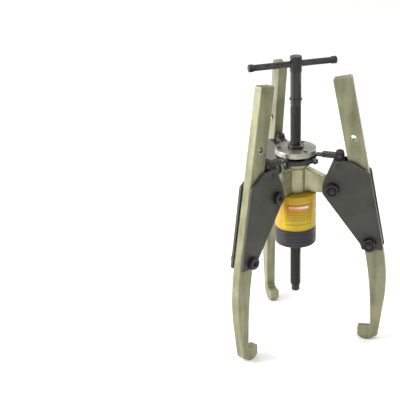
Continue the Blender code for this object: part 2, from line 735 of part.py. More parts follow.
# ---- hydraulic cylinder: body, collar, gland, plunger, saddle and return spring
def cylinder():
    guide_radius = screw_hole + guide_wall
    plunger_bore = guide_radius + gap
    ceiling = cylinder_top - cylinder_roof
    lip_top = collar_bottom + collar_lip
    body_bottom = lip_top + gap
    gland_bottom = body_bottom + wiper_height + gap
    gland_top = gland_bottom + gland_height
    plunger_bottom = collar_bottom + gap
    saddle_top = plunger_bottom + saddle_height
    guide_bottom = saddle_top + guide_gap
    piston_top = ceiling - gap
    piston_bottom = piston_top - piston_height
    seal_middle = (piston_top + piston_bottom) / 2
    piston_radius = bore_radius - piston_clearance

    body = turned("body_blank", [
        (spigot_radius, level(head_bottom + spigot_length)),
        (spigot_radius, level(cylinder_top)),
        (cylinder_radius - cylinder_edge, level(cylinder_top)),
        (cylinder_radius, level(cylinder_top - cylinder_edge)),
        (cylinder_radius, level(collar_top + gap)),
        (collar_thread, level(collar_top + gap)),
        (collar_thread, level(body_bottom)),
        (bore_radius, level(body_bottom)),
        (bore_radius, level(ceiling)),
        (guide_radius, level(ceiling)),
        (guide_radius, level(guide_bottom)),
        (screw_hole, level(guide_bottom)),
        (screw_hole, level(head_bottom + spigot_length)),
    ], hollow=True, steps=28)
    wall_middle = (cylinder_radius + bore_radius) / 2
    through_wall = cylinder_radius - bore_radius + 2 * port_overrun
    port = rods("port", [((0, wall_middle, level(port_height)), (0, 1, 0), port_radius + gap, through_wall)])
    cut(body, port)
    place("cylinder_body", settle(body), yellow_paint)

    collar = turned("collar_blank", [
        (cylinder_radius, level(collar_top)),
        (cylinder_radius, level(collar_bottom + collar_edge)),
        (cylinder_radius - collar_edge, level(collar_bottom)),
        (plunger_radius + lip_clearance, level(collar_bottom)),
        (plunger_radius + lip_clearance, level(lip_top)),
        (collar_thread + gap, level(lip_top)),
        (collar_thread + gap, level(collar_top)),
    ], hollow=True, steps=28)
    place("cylinder_collar", settle(collar), black_steel)

    for name, low, height, finish in (
            ("wiper_ring", body_bottom, wiper_height, seal_rubber),
            ("gland_ring", gland_bottom, gland_height, bright_steel)):
        ring = turned(name + "_blank", [
            (bore_radius - gap, level(low + height)),
            (bore_radius - gap, level(low)),
            (plunger_radius + gap, level(low)),
            (plunger_radius + gap, level(low + height)),
        ], hollow=True)
        place(name, settle(ring), finish)

    ram = axis_frame("plunger_axis")
    groove_top = seal_middle + seal_height / 2 + gap
    groove_bottom = seal_middle - seal_height / 2 - gap
    plunger = turned("plunger_blank", [
        (piston_radius, level(piston_top)),
        (piston_radius, level(groove_top)),
        (piston_radius - seal_depth, level(groove_top)),
        (piston_radius - seal_depth, level(groove_bottom)),
        (piston_radius, level(groove_bottom)),
        (piston_radius, level(piston_bottom)),
        (plunger_radius, level(piston_bottom)),
        (plunger_radius, level(plunger_bottom)),
        (saddle_radius + gap, level(plunger_bottom)),
        (saddle_radius + gap, level(saddle_top + gap)),
        (plunger_bore, level(saddle_top + gap)),
        (plunger_bore, level(piston_top)),
    ], hollow=True)
    place("plunger", settle(plunger), bright_steel, ram)
    seal = turned("seal_blank", [
        (bore_radius - gap, level(seal_middle + seal_height / 2)),
        (bore_radius - gap, level(seal_middle - seal_height / 2)),
        (piston_radius - seal_depth + gap, level(seal_middle - seal_height / 2)),
        (piston_radius - seal_depth + gap, level(seal_middle + seal_height / 2)),
    ], hollow=True)
    place("piston_seal", settle(seal), seal_rubber, ram)
    saddle = turned("saddle_blank", [
        (saddle_radius, level(saddle_top)),
        (saddle_radius, level(plunger_bottom)),
        (screw_radius + thread_clearance, level(plunger_bottom)),
        (screw_radius + thread_clearance, level(saddle_top)),
    ], hollow=True, steps=24)
    place("saddle", settle(saddle), black_steel, ram)

    spring_low = level(gland_top) + gap + spring_wire / 2
    spring_high = level(piston_bottom) - gap - spring_wire / 2
    spring_radius = (plunger_radius + bore_radius) / 2
    points_per_turn = 10
    coil = bpy.data.curves.new("return_spring", 'CURVE')
    coil.dimensions = '3D'
    coil.bevel_depth = spring_wire / 2
    coil.bevel_resolution = 1
    coil.render_resolution_u = 0
    coil.use_fill_caps = True
    spline = coil.splines.new('POLY')
    count = spring_turns * points_per_turn + 1
    spline.points.add(count - 1)
    for index, point in enumerate(spline.points):
        angle = 2 * pi * index / points_per_turn
        share = index / (count - 1)
        height = spring_low + (spring_high - spring_low) * share
        point.co = (spring_radius * cos(angle), spring_radius * sin(angle), height, 1)
    place("return_spring", settle(stand_in_scene("coil", coil)), bright_steel, ram)


def oil_coupler():
    """Quick coupler on the cylinder's far side, along +Y, with its dust cap."""
    face = cylinder_radius + gap
    stub = port_radius
    wall = cylinder_radius - bore_radius
    hex_end = face + coupler_hex_length
    nose = hex_end + coupler_length
    coupler = turned("coupler_blank", [
        (0, nose),
        (coupler_radius - coupler_edge, nose),
        (coupler_radius, nose - coupler_edge),
        (coupler_radius, hex_end + sleeve_start),
        (coupler_radius - coupler_waist, hex_end + waist_end),
        (coupler_radius - coupler_waist, hex_end - hex_overlap),
        (stub, hex_end - hex_overlap),
        (stub, face - wall + port_stub),
        (0, face - wall + port_stub),
    ], steps=24)
    hexagon = rods("coupler_hexagon", [((0, 0, (face + hex_end) / 2), (0, 0, 1), coupler_hex,
                                        coupler_hex_length)], 6)
    cut(coupler, hexagon, 'UNION')
    to_rear = Matrix.Translation((0, 0, level(port_height))) @ Matrix.Rotation(-pi / 2, 4, 'X')
    place("oil_coupler", settle(coupler, to_rear), bright_steel)
    cap_inner = coupler_radius + gap
    cap_far = nose + gap + cap_end
    cap = turned("cap_blank", [
        (0, cap_far),
        (cap_inner + cap_wall - cap_edge, cap_far),
        (cap_inner + cap_wall, cap_far - cap_edge),
        (cap_inner + cap_wall, cap_far - cap_length),
        (cap_inner, cap_far - cap_length),
        (cap_inner, nose + gap),
        (0, nose + gap),
    ], steps=24)
    place("dust_cap", settle(cap, to_rear), seal_rubber)


# ---- screw, its free-turning point and the T-bar
def screw_and_bar():
    spindle = axis_frame("screw_axis")
    shoulder = point_height + nose_height
    head_low = screw_top - screw_head_length
    ring_low = rod_ring_height
    ring_high = rod_ring_height + rod_ring_length
    pin_hole = shoulder + nose_pin_length
    screw = turned("screw_blank", [
        (0, level(screw_top)),
        (screw_head_radius - screw_edge, level(screw_top)),
        (screw_head_radius, level(screw_top - screw_edge)),
        (screw_head_radius, level(head_low)),
        (screw_radius, level(head_low - head_taper)),
        (screw_radius, level(ring_high)),
        (rod_ring_radius, level(ring_high - rod_ring_edge)),
        (rod_ring_radius, level(ring_low + rod_ring_edge)),
        (screw_radius, level(ring_low)),
        (screw_radius, level(shoulder + screw_edge)),
        (screw_radius - screw_edge, level(shoulder)),
        (nose_pin + gap, level(shoulder)),
        (nose_pin + gap, level(pin_hole)),
        (0, level(pin_hole)),
    ], steps=24)
    heading = Vector((cos(radians(tbar_angle)), sin(radians(tbar_angle)), 0))
    centre = Vector((0, 0, level(bar_level)))
    cut(screw, rods("bar_hole", [(centre, heading, tbar_radius + gap, reach_through)]))
    place("screw", settle(screw), black_steel, spindle)

    point = turned("point_blank", [
        (0, level(pin_hole - gap)),
        (nose_pin, level(pin_hole - gap)),
        (nose_pin, level(shoulder - gap)),
        (nose_radius, level(shoulder - gap)),
        (nose_radius, level(point_height + nose_taper)),
        (nose_flat, level(point_height)),
        (0, level(point_height)),
    ], steps=24)
    place("screw_point", settle(point), bright_steel, spindle)

    slide = axis_frame("tbar_axis", spindle, centre + heading * tbar_rest, tbar_angle)
    rod_length = tbar_length - 2 * (tbar_cap_end + gap)
    rod = settle(rods("tbar_blank", [((0, 0, 0), (1, 0, 0), tbar_radius, rod_length)]))
    place("tbar", rod, black_steel, slide)
    end = tbar_length / 2
    cap = turned("tbar_cap_blank", [
        (0, end),
        (tbar_cap_radius - tbar_cap_edge, end),
        (tbar_cap_radius, end - tbar_cap_edge),
        (tbar_cap_radius, end - tbar_cap_length),
        (tbar_radius + gap, end - tbar_cap_length),
        (tbar_radius + gap, end - tbar_cap_end),
        (0, end - tbar_cap_end),
    ], steps=16)
    cap_mesh = settle(cap, Matrix.Rotation(pi / 2, 4, 'Y'))
    for number, angle in enumerate(around(2), 1):
        place(f"tbar_cap_{number}", cap_mesh, black_steel, slide, (0, 0, 0), angle)


head_block()
jaws()
ring_and_links()
cylinder()
oil_coupler()
screw_and_bar()
bpy.context.view_layer.update()
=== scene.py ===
import bmesh
import bpy
import json
from math import atan2, ceil, cos, hypot, pi, radians, sin, tan
from mathutils import Matrix, Vector

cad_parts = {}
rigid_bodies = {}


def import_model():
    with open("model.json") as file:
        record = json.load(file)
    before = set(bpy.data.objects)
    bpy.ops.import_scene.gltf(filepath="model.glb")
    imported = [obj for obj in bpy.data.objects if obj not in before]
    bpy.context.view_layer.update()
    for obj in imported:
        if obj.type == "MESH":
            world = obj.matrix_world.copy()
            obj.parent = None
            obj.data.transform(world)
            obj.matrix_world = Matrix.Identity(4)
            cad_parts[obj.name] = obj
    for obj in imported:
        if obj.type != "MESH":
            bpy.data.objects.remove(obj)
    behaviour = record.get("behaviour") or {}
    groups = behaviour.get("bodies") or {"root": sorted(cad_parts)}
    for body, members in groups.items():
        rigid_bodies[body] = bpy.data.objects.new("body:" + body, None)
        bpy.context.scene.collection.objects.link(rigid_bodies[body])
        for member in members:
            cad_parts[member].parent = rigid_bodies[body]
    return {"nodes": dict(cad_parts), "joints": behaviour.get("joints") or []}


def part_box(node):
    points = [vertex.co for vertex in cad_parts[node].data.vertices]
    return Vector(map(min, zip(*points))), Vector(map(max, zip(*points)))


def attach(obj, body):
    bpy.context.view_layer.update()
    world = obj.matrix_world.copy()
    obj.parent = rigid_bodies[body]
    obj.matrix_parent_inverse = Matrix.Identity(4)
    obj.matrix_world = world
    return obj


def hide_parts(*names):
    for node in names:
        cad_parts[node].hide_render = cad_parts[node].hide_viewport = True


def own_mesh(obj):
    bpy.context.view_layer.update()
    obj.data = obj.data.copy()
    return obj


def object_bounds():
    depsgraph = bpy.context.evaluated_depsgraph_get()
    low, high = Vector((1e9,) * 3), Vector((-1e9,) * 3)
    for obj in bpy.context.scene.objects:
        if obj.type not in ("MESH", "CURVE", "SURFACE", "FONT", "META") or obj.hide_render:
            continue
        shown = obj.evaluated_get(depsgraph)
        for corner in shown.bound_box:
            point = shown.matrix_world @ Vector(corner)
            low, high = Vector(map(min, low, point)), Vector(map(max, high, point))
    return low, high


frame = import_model()
cadBox = [list(corner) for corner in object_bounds()]
floorZ = cadBox[0][2]      # the hooks stand here; heights are measured up from it
jointAt = {joint["name"]: Vector(joint.get("pos_m", (0, 0, 0))) for joint in frame["joints"]}
jawNumbers = (1, 2, 3)
gap = 0.0003               # clearance between neighbours
print("frame loaded:", len(frame["nodes"]), "nodes")


def level(height):
    return floorZ + height


def headingOf(point):
    return atan2(point[1], point[0])


def middleOf(node):
    low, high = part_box(node)
    return (low + high) / 2


# node graphs: a Wire is an output that can be used in sums, a Graph adds nodes from settings and values
class Wire:
    def __init__(self, graph, socket):
        self.graph = graph
        self.socket = socket

    def of(self, name):
        return Wire(self.graph, self.socket.node.outputs[name])

    def combined(self, operation, first, second):
        return self.graph.node("ShaderNodeMath", {"operation": operation}, {0: first, 1: second})

    def __add__(self, other):
        return self.combined('ADD', self, other)

    def __radd__(self, other):
        return self.combined('ADD', other, self)

    def __sub__(self, other):
        return self.combined('SUBTRACT', self, other)

    def __rsub__(self, other):
        return self.combined('SUBTRACT', other, self)

    def __mul__(self, other):
        return self.combined('MULTIPLY', self, other)

    def __rmul__(self, other):
        return self.combined('MULTIPLY', other, self)


class Graph:
    def __init__(self, tree):
        self.tree = tree

    def node(self, kind, settings=None, values=None):
        made = self.tree.nodes.new(kind)
        for key, value in (settings or {}).items():
            setattr(made, key, value)
        for key, value in (values or {}).items():
            if isinstance(value, Wire):
                self.tree.links.new(value.socket, made.inputs[key])
            else:
                made.inputs[key].default_value = value
        return Wire(self, next((output for output in made.outputs if output.enabled), None))

    def limited(self, wire):
        return self.node("ShaderNodeClamp", {}, {"Value": wire})

    def blended(self, factor, first, second):
        ends = [end if isinstance(end, Wire) else (*end, 1) for end in (first, second)]
        return self.node("ShaderNodeMix", {"data_type": 'RGBA'}, {0: factor, 6: ends[0], 7: ends[1]})

    def within(self, wire, centre, half):
        return self.node("ShaderNodeMath", {"operation": 'COMPARE'}, {0: wire, 1: centre, 2: half})

    def stretched(self, coords, scale):
        return self.node("ShaderNodeMapping", {}, {"Vector": coords, "Scale": scale})

    def noise(self, coords, scale, detail=3.0, roughness=0.5):
        return self.node("ShaderNodeTexNoise", {}, {"Vector": coords, "Scale": scale, "Detail": detail,
                                                    "Roughness": roughness})


def newFinish(name):
    finish = bpy.data.materials.new(name)
    finish.use_nodes = True
    finish.node_tree.nodes.clear()
    return finish, Graph(finish.node_tree)


def shaded(graph, base, metallic, roughness, normal, coat=0.0, specular=0.5):
    values = {"Base Color": base, "Metallic": metallic, "Roughness": roughness, "Normal": normal,
              "Specular IOR Level": specular, "Coat Weight": coat, "Coat Roughness": 0.12}
    shader = graph.node("ShaderNodeBsdfPrincipled", {}, values)
    graph.node("ShaderNodeOutputMaterial", {}, {"Surface": shader})


def edgeMask(graph, radius, gain):
    straight = graph.node("ShaderNodeNewGeometry").of("Normal")
    turned = graph.node("ShaderNodeBevel", {"samples": 4}, {"Radius": radius})
    along = graph.node("ShaderNodeVectorMath", {"operation": 'DOT_PRODUCT'},
                       {0: straight, 1: turned}).of("Value")
    return graph.limited((1 - along) * gain)


# finishes of metal: two tones that wander, a worn tone on the edges, fine grain, broad unevenness, and
# painted shade that ambient occlusion darkens into corners and crevices
plainMetal = {"metallic": 0.25, "roughness": (0.26, 0.44), "blotch": 60, "grain": 1500, "dents": 300,
              "dentDepth": 0.00003, "grainDepth": 0.00003, "edge": 0.0006, "edgeGain": 3.5, "cornerShading": 0.3}
metalLooks = {   # what differs from plain metal
    "barPlating": {
        "tones": ((0.300, 0.300, 0.180), (0.150, 0.150, 0.088)), "worn": (0.72, 0.72, 0.60),
        "metallic": 0.45, "roughness": (0.27, 0.48), "blotch": 26, "streak": (60, 60, 5), "grain": 900,
        "dents": 130, "dentDepth": 0.00028, "edge": 0.0012, "edgeGain": 6.0, "cornerShading": 0.35},
    "headPlating": {
        "tones": ((0.410, 0.402, 0.250), (0.225, 0.220, 0.130)), "worn": (0.78, 0.78, 0.64),
        "metallic": 0.65, "roughness": (0.22, 0.40), "blotch": 45, "streak": (90, 90, 12), "grain": 1100,
        "dents": 210, "dentDepth": 0.00020, "edge": 0.0010, "edgeGain": 5.0, "cornerShading": 0.6},
    "platePhosphate": {
        "tones": ((0.046, 0.047, 0.036), (0.029, 0.030, 0.023)), "worn": (0.15, 0.15, 0.125),
        "metallic": 0.10, "roughness": (0.40, 0.58), "blotch": 32, "streak": (30, 30, 30), "grain": 1300,
        "dents": 260, "dentDepth": 0.00008, "grainDepth": 0.00005, "edge": 0.0007},
    "blackOxide": {
        "tones": ((0.016, 0.016, 0.017), (0.008, 0.008, 0.009)), "worn": (0.11, 0.11, 0.105),
        "metallic": 0.20, "blotch": 120, "streak": (200, 200, 200), "dents": 420, "edge": 0.0005,
        "edgeGain": 3.0},
    "linkOxide": {
        "tones": ((0.034, 0.034, 0.033), (0.018, 0.018, 0.018)), "worn": (0.20, 0.20, 0.18),
        "roughness": (0.28, 0.46), "blotch": 90, "streak": (160, 160, 160), "grain": 1400, "dents": 360,
        "dentDepth": 0.00005},
    "screwSteel": {
        "tones": ((0.017, 0.017, 0.017), (0.008, 0.008, 0.008)), "worn": (0.30, 0.30, 0.28),
        "metallic": 0.15, "roughness": (0.16, 0.30), "blotch": 70, "streak": (260, 260, 9), "grain": 1200,
        "grainDepth": 0.00002, "edge": 0.0005, "edgeGain": 0.8, "cornerShading": 0.2},
    "barHandleSteel": {
        "tones": ((0.042, 0.042, 0.046), (0.016, 0.016, 0.018)), "worn": (0.36, 0.36, 0.36),
        "metallic": 0.30, "roughness": (0.16, 0.30), "blotch": 80, "streak": (90, 90, 90), "grain": 1200,
        "grainDepth": 0.00002, "edge": 0.0005, "edgeGain": 3.0, "cornerShading": 0.2},
    "groundPlate": {
        "tones": ((0.430, 0.435, 0.375), (0.250, 0.255, 0.215)), "worn": (0.88, 0.88, 0.82),
        "metallic": 0.80, "roughness": (0.24, 0.40), "streak": (35, 35, 420), "grainDepth": 0.00002,
        "cornerShading": 0.5},
    "collarOxide": {
        "tones": ((0.022, 0.021, 0.027), (0.012, 0.011, 0.015)), "worn": (0.12, 0.12, 0.13),
        "roughness": (0.32, 0.50), "streak": (40, 40, 500), "dentDepth": 0.00004, "grainDepth": 0.00004},
}


def metalFinish(name):
    look = {**plainMetal, **metalLooks[name]}
    finish, graph = newFinish(name)
    place = graph.node("ShaderNodeTexCoord").of("Object")
    blotch = graph.noise(place, look["blotch"], 4)
    streak = graph.noise(graph.stretched(place, look["streak"]), 1.0, 3)
    grain = graph.noise(place, look["grain"], 2, 0.6)
    dents = graph.noise(place, look["dents"], 2)
    edge = edgeMask(graph, look["edge"], look["edgeGain"])
    wander = graph.limited((blotch * 0.45 + streak * 0.55 - 0.37) * 4.0)
    tone = graph.blended(wander, look["tones"][0], look["tones"][1])
    tone = graph.blended(grain * 0.22, tone, tuple(0.45 * part for part in look["tones"][1]))
    rubbed = graph.limited(edge * (dents * 1.6 + 0.1))
    tone = graph.blended(rubbed * 0.75, tone, look["worn"])
    # painted shade: ambient occlusion darkens the tone in corners and crevices, made uneven by the blotch
    # noise
    corner = graph.node("ShaderNodeAmbientOcclusion", {"samples": 4}, {"Distance": 0.012}).of("AO")
    cornerShade = graph.limited((1 - corner) * (0.5 + blotch)) * look["cornerShading"]
    tone = graph.blended(cornerShade, tone, tuple(0.25 * part for part in look["tones"][1]))
    low, high = look["roughness"]
    rough = graph.limited(low + (high - low) * (blotch * 0.7 + grain * 0.5) - rubbed * 0.08)
    hollows = graph.node("ShaderNodeBump", {}, {"Height": dents, "Distance": look["dentDepth"],
                                                "Strength": 1.0})
    normal = graph.node("ShaderNodeBump", {}, {"Height": grain, "Distance": look["grainDepth"],
                                               "Strength": 0.8,
                                               "Normal": hollows})
    shaded(graph, tone, look["metallic"], rough, normal)
    return finish


enamelLook = {
    "yellow": (0.490, 0.305, 0.005), "deep": (0.350, 0.200, 0.004), "amber": (0.440, 0.175, 0.002),
    "bright": (0.490, 0.380, 0.008), "chip": (0.26, 0.25, 0.20),
    "labelTurn": radians(19), "labelHalf": radians(47), "labelMiddle": 0.2445, "labelTall": 0.0245,
    "barMiddle": 0.2612, "barTall": 0.0024, "barHalf": radians(29), "barPink": (0.80, 0.30, 0.21),
    "barPale": (0.66, 0.60, 0.66), "ruleDark": (0.20, 0.055, 0.006), "rule": (0.230, 0.120, 0.006),
    "rules": (0.2520, 0.2470, 0.2425, 0.2375, 0.2290), "ruleTall": 0.0006, "ruleInset": 0.14,
    "borderTurn": 0.035, "borderTall": 0.0012, "amberFrom": 0.2300, "amberRise": 32.0,
    "barRuleUp": 0.0036, "barRuleTall": 0.0007, "blotch": 45, "grain": 800, "peel": 420, "chips": 320,
}


def enamelFinish():
    look = enamelLook
    finish, graph = newFinish("yellowEnamel")
    place = graph.node("ShaderNodeTexCoord").of("Object")
    parts = graph.node("ShaderNodeSeparateXYZ", {}, {"Vector": place})
    across, away, height = parts.of("X"), parts.of("Y"), parts.of("Z")
    turn = graph.node("ShaderNodeMath", {"operation": 'ARCTAN2'}, {0: across, 1: 0 - away})
    blotch = graph.noise(place, look["blotch"], 4)
    grain = graph.noise(place, look["grain"], 2)
    tone = graph.blended(graph.limited((blotch - 0.35) * 2.2), look["yellow"], look["deep"])
    onLabel = graph.within(turn, look["labelTurn"], look["labelHalf"]) * graph.within(
        height, level(look["labelMiddle"]), look["labelTall"])
    inner = graph.within(turn, look["labelTurn"], look["labelHalf"] - look["borderTurn"]) * graph.within(
        height, level(look["labelMiddle"]), look["labelTall"] - look["borderTall"])
    rise = graph.limited((height - level(look["amberFrom"])) * look["amberRise"])
    panel = graph.blended(rise, look["bright"], look["amber"])
    panel = graph.blended(graph.limited((blotch - 0.4) * 2.5) * 0.5, panel, look["yellow"])
    tone = graph.blended(onLabel, tone, look["bright"])
    tone = graph.blended(inner, tone, panel)
    narrow = graph.within(turn, look["labelTurn"], look["labelHalf"] - look["ruleInset"])
    for rule in look["rules"]:
        tone = graph.blended(narrow * graph.within(height, level(rule), look["ruleTall"]), tone, look["rule"])
    barTurn = graph.within(turn, look["labelTurn"], look["barHalf"])
    bar = graph.blended(graph.limited((turn - look["labelTurn"] + 0.2) * 2.2), look["barPink"],
                        look["barPale"])
    tone = graph.blended(barTurn * graph.within(height, level(look["barMiddle"]), look["barTall"]), tone, bar)
    tone = graph.blended(barTurn * graph.within(height, level(look["barMiddle"] + look["barRuleUp"]),
                                                look["barRuleTall"]), tone, look["ruleDark"])
    rubbed = edgeMask(graph, 0.0007, 4.0) * graph.limited(
        (graph.noise(place, look["chips"], 3) - 0.46) * 9.0)
    tone = graph.blended(rubbed, tone, look["chip"])
    rough = graph.limited(0.24 + 0.14 * blotch + 0.08 * grain + rubbed * 0.25 + onLabel * 0.06)
    peel = graph.node("ShaderNodeBump", {}, {"Height": graph.noise(place, look["peel"], 2),
                                             "Distance": 0.00005, "Strength": 0.7})
    normal = graph.node("ShaderNodeBump", {}, {"Height": onLabel, "Distance": 0.0001, "Strength": 0.6,
                                               "Normal": peel})
    shaded(graph, tone, 0.0, rough, normal, 0.10, 0.35)
    return finish


rubberLook = {"tones": ((0.022, 0.022, 0.022), (0.012, 0.012, 0.012)), "roughness": (0.58, 0.78), "bloom": 60,
              "grain": 1400}


def rubberFinish():
    finish, graph = newFinish("sealRubber")
    place = graph.node("ShaderNodeTexCoord").of("Object")
    bloom = graph.noise(place, rubberLook["bloom"], 4)
    grain = graph.noise(place, rubberLook["grain"], 3)
    tone = graph.blended(graph.limited((bloom - 0.3) * 2.5), rubberLook["tones"][0], rubberLook["tones"][1])
    low, high = rubberLook["roughness"]
    rough = graph.limited(low + (high - low) * (bloom * 0.6 + grain * 0.5))
    normal = graph.node("ShaderNodeBump", {}, {"Height": grain, "Distance": 0.00004, "Strength": 0.8})
    shaded(graph, tone, 0.0, rough, normal, 0.0, 0.35)
    return finish


finishes = {name: metalFinish(name) for name in metalLooks}
finishes["yellowEnamel"] = enamelFinish()
finishes["sealRubber"] = rubberFinish()
print("finishes made:", len(finishes))


# mesh work
workshop = bpy.data.collections.new("workshop")
bpy.context.scene.collection.children.link(workshop)


def blankOf(name, mesh):
    blank = bpy.data.objects.new(name, mesh)
    workshop.objects.link(blank)
    return blank


def meshOf(name, shape):
    bmesh.ops.recalc_face_normals(shape, faces=shape.faces)
    mesh = bpy.data.meshes.new(name)
    shape.to_mesh(mesh)
    shape.free()
    return mesh


def evaluated(blank):
    bpy.context.view_layer.update()
    graph = bpy.context.evaluated_depsgraph_get()
    mesh = bpy.data.meshes.new_from_object(blank.evaluated_get(graph))
    bpy.data.objects.remove(blank, do_unlink=True)
    return mesh


def weld(mesh, distance=0.000004):
    shape = bmesh.new()
    shape.from_mesh(mesh)
    bmesh.ops.remove_doubles(shape, verts=shape.verts, dist=distance)
    bmesh.ops.dissolve_degenerate(shape, edges=shape.edges, dist=distance)
    shape.to_mesh(mesh)
    shape.free()
    return mesh


def edged(blank, width, segments=3, angle=32):
    bevel = blank.modifiers.new("Edge", 'BEVEL')
    bevel.width = width
    bevel.segments = segments
    bevel.limit_method = 'ANGLE'
    bevel.angle_limit = radians(angle)
    bevel.use_clamp_overlap = True
    return blank


def joined(blank, others, operation='DIFFERENCE'):
    for other in others:
        modifier = blank.modifiers.new("Join", 'BOOLEAN')
        modifier.operation = operation
        modifier.solver = 'EXACT'
        modifier.object = other
    return blank


def dressed(mesh, angle=33):
    mesh.shade_smooth()
    mesh.set_sharp_from_angle(angle=radians(angle))
    blank = blankOf("dressing", mesh)
    even = blank.modifiers.new("Even", 'WEIGHTED_NORMAL')
    even.keep_sharp = True
    return evaluated(blank)


def finishedMesh(blank, tools=(), angle=33):
    mesh = weld(evaluated(blank))
    for tool in tools:
        bpy.data.objects.remove(tool, do_unlink=True)
    return dressed(mesh, angle)


def roundedOutline(corners, finest=radians(9), up=0.0, longest=0.012):
    # a corner is x and y, with a radius where it is rounded; up lifts them all
    corners = [(x, y + up, *(rest or (0,))) for x, y, *rest in corners]
    outline = []
    for index, (x, y, radius) in enumerate(corners):
        here = Vector((x, y))
        if radius == 0:
            outline.append(here)
            continue
        before = (Vector(corners[index - 1][:2]) - here).normalized()
        after = (Vector(corners[(index + 1) % len(corners)][:2]) - here).normalized()
        opening = before.angle(after)
        turn = pi - opening
        centre = here + (before + after).normalized() * (radius / sin(opening / 2))
        first = here + before * (radius / tan(opening / 2)) - centre
        last = here + after * (radius / tan(opening / 2)) - centre
        steps = max(ceil(turn / finest), ceil(turn * radius / longest))
        for step in range(steps + 1):
            share = step / steps
            outline.append(centre + (first * sin((1 - share) * turn) + last * sin(share * turn)) / sin(turn))
    return outline


def slabMesh(corners, low, high, flat=False, finest=radians(9), up=0.0):
    outline = roundedOutline(corners, finest, up)
    shape = bmesh.new()
    rows = []
    for side in (low, high):
        rows.append([shape.verts.new((p.x, p.y, side) if flat else (p.x, side, p.y)) for p in outline])
    shape.faces.new(rows[0])
    shape.faces.new(rows[1])
    for index in range(len(outline)):
        after = (index + 1) % len(outline)
        shape.faces.new((rows[0][index], rows[0][after], rows[1][after], rows[1][index]))
    return meshOf("slab", shape)


def turnedMesh(corners, hollow=False, steps=64, finest=radians(22), up=0.0):
    outline = roundedOutline(corners, finest, up)
    shape = bmesh.new()
    rings = []
    for point in outline:
        if point.x < 0.0000001:
            rings.append([shape.verts.new((0, 0, point.y))])
        else:
            turns = [2 * pi * index / steps for index in range(steps)]
            rings.append([shape.verts.new((point.x * cos(turn), point.x * sin(turn),
                                           point.y)) for turn in turns])
    pairs = list(zip(rings, rings[1:])) + ([(rings[-1], rings[0])] if hollow else [])
    for one, two in pairs:
        for index in range(steps):
            after = (index + 1) % steps
            loop = [one[index % len(one)], one[after % len(one)], two[after % len(two)],
                    two[index % len(two)]]
            loop = list(dict.fromkeys(loop))
            if len(loop) > 2:
                shape.faces.new(loop)
    return meshOf("turned", shape)


def moved(mesh, *matrices):
    for matrix in matrices:
        mesh.transform(matrix)
    return mesh


def lift(height):
    return Matrix.Translation((0, 0, height))


def turnZ(angle):
    return Matrix.Rotation(angle, 4, 'Z')


def toY(sign=1):      # stands a Z-up shape along Y, its top towards +Y or -Y
    return Matrix.Rotation(-sign * pi / 2, 4, 'X')


overCut = 0.001       # a cutter stands this far past the faces it opens


def rodMesh(radius, low, high, lip=0.0, steps=48, up=0.0):
    return turnedMesh([(0, low), (radius, low, lip), (radius, high, lip), (0, high)], steps=steps, up=up)


def flaredRod(radius, low, high, lip, steps=48):      # cuts a hole with its two edges broken
    wide = radius + lip + overCut
    return turnedMesh([(0, low - overCut), (wide, low - overCut), (radius, low + lip), (radius, high - lip),
                       (wide, high + overCut), (0, high + overCut)], steps=steps)


def throughHole(radius, half, lip, at=(0, 0, 0), steps=48):
    return blankOf("hole", moved(flaredRod(radius, -half, half, lip, steps), toY(), Matrix.Translation(at)))


def merged(*meshes):
    shape = bmesh.new()
    for mesh in meshes:
        shape.from_mesh(mesh)
    whole = bpy.data.meshes.new("merged")
    shape.to_mesh(whole)
    shape.free()
    whole.shade_smooth()
    whole.set_sharp_from_angle(angle=radians(33))
    return whole


made = []


def standFor(name, mesh, node, body, finishName, matrix=None):
    own = mesh.copy()
    own.name = name
    if matrix is not None:
        own.transform(matrix)
    own.materials.clear()
    own.materials.append(finishes[finishName])
    piece = bpy.data.objects.new(name, own)
    bpy.context.scene.collection.objects.link(piece)
    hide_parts(node)
    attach(piece, body)
    made.append(piece)
    return piece


def keepNode(node, finishName):
    for slot in frame["nodes"][node].material_slots:
        slot.material = finishes[finishName]


# geometry node trees: a ring of ridges, and a winding that a thread or a spring follows
def newTree(name, inputs):
    tree = bpy.data.node_groups.new(name, 'GeometryNodeTree')
    for title, kind, value in inputs:
        socket = tree.interface.new_socket(title, in_out='INPUT', socket_type=kind)
        if value is not None:
            socket.default_value = value
    tree.interface.new_socket("Geometry", in_out='OUTPUT', socket_type='NodeSocketGeometry')
    graph = Graph(tree)
    return tree, graph, graph.node("NodeGroupInput")


def endTree(graph, shape, given):
    whole = graph.node("GeometryNodeRealizeInstances", {}, {"Geometry": shape})
    coated = graph.node("GeometryNodeSetMaterial", {}, {"Geometry": whole, "Material": given.of("Finish")})
    graph.node("NodeGroupOutput", {}, {"Geometry": coated})


def ridgeTree():
    tree, graph, given = newTree("ridgeRing", (
        ("Count", 'NodeSocketInt', 48), ("Radius", 'NodeSocketFloat', 0.01),
        ("Length", 'NodeSocketFloat', 0.006),
        ("Width", 'NodeSocketFloat', 0.0008), ("Finish", 'NodeSocketMaterial', None)))
    ring = graph.node("GeometryNodeMeshCircle", {},
                      {"Vertices": given.of("Count"), "Radius": given.of("Radius")})
    size = graph.node("ShaderNodeCombineXYZ", {}, {"X": given.of("Width"), "Y": given.of("Width"),
                                                   "Z": given.of("Length")})
    ridge = graph.node("GeometryNodeMeshCube", {}, {"Size": size})
    ridge = graph.node("GeometryNodeTransform", {}, {"Geometry": ridge, "Rotation": (0, 0, pi / 4)})
    outwards = graph.node("FunctionNodeAlignRotationToVector", {"axis": 'X'},
                          {"Vector": graph.node("GeometryNodeInputPosition")})
    spread = graph.node("GeometryNodeInstanceOnPoints", {}, {"Points": ring, "Instance": ridge,
                                                             "Rotation": outwards})
    endTree(graph, spread, given)
    return tree


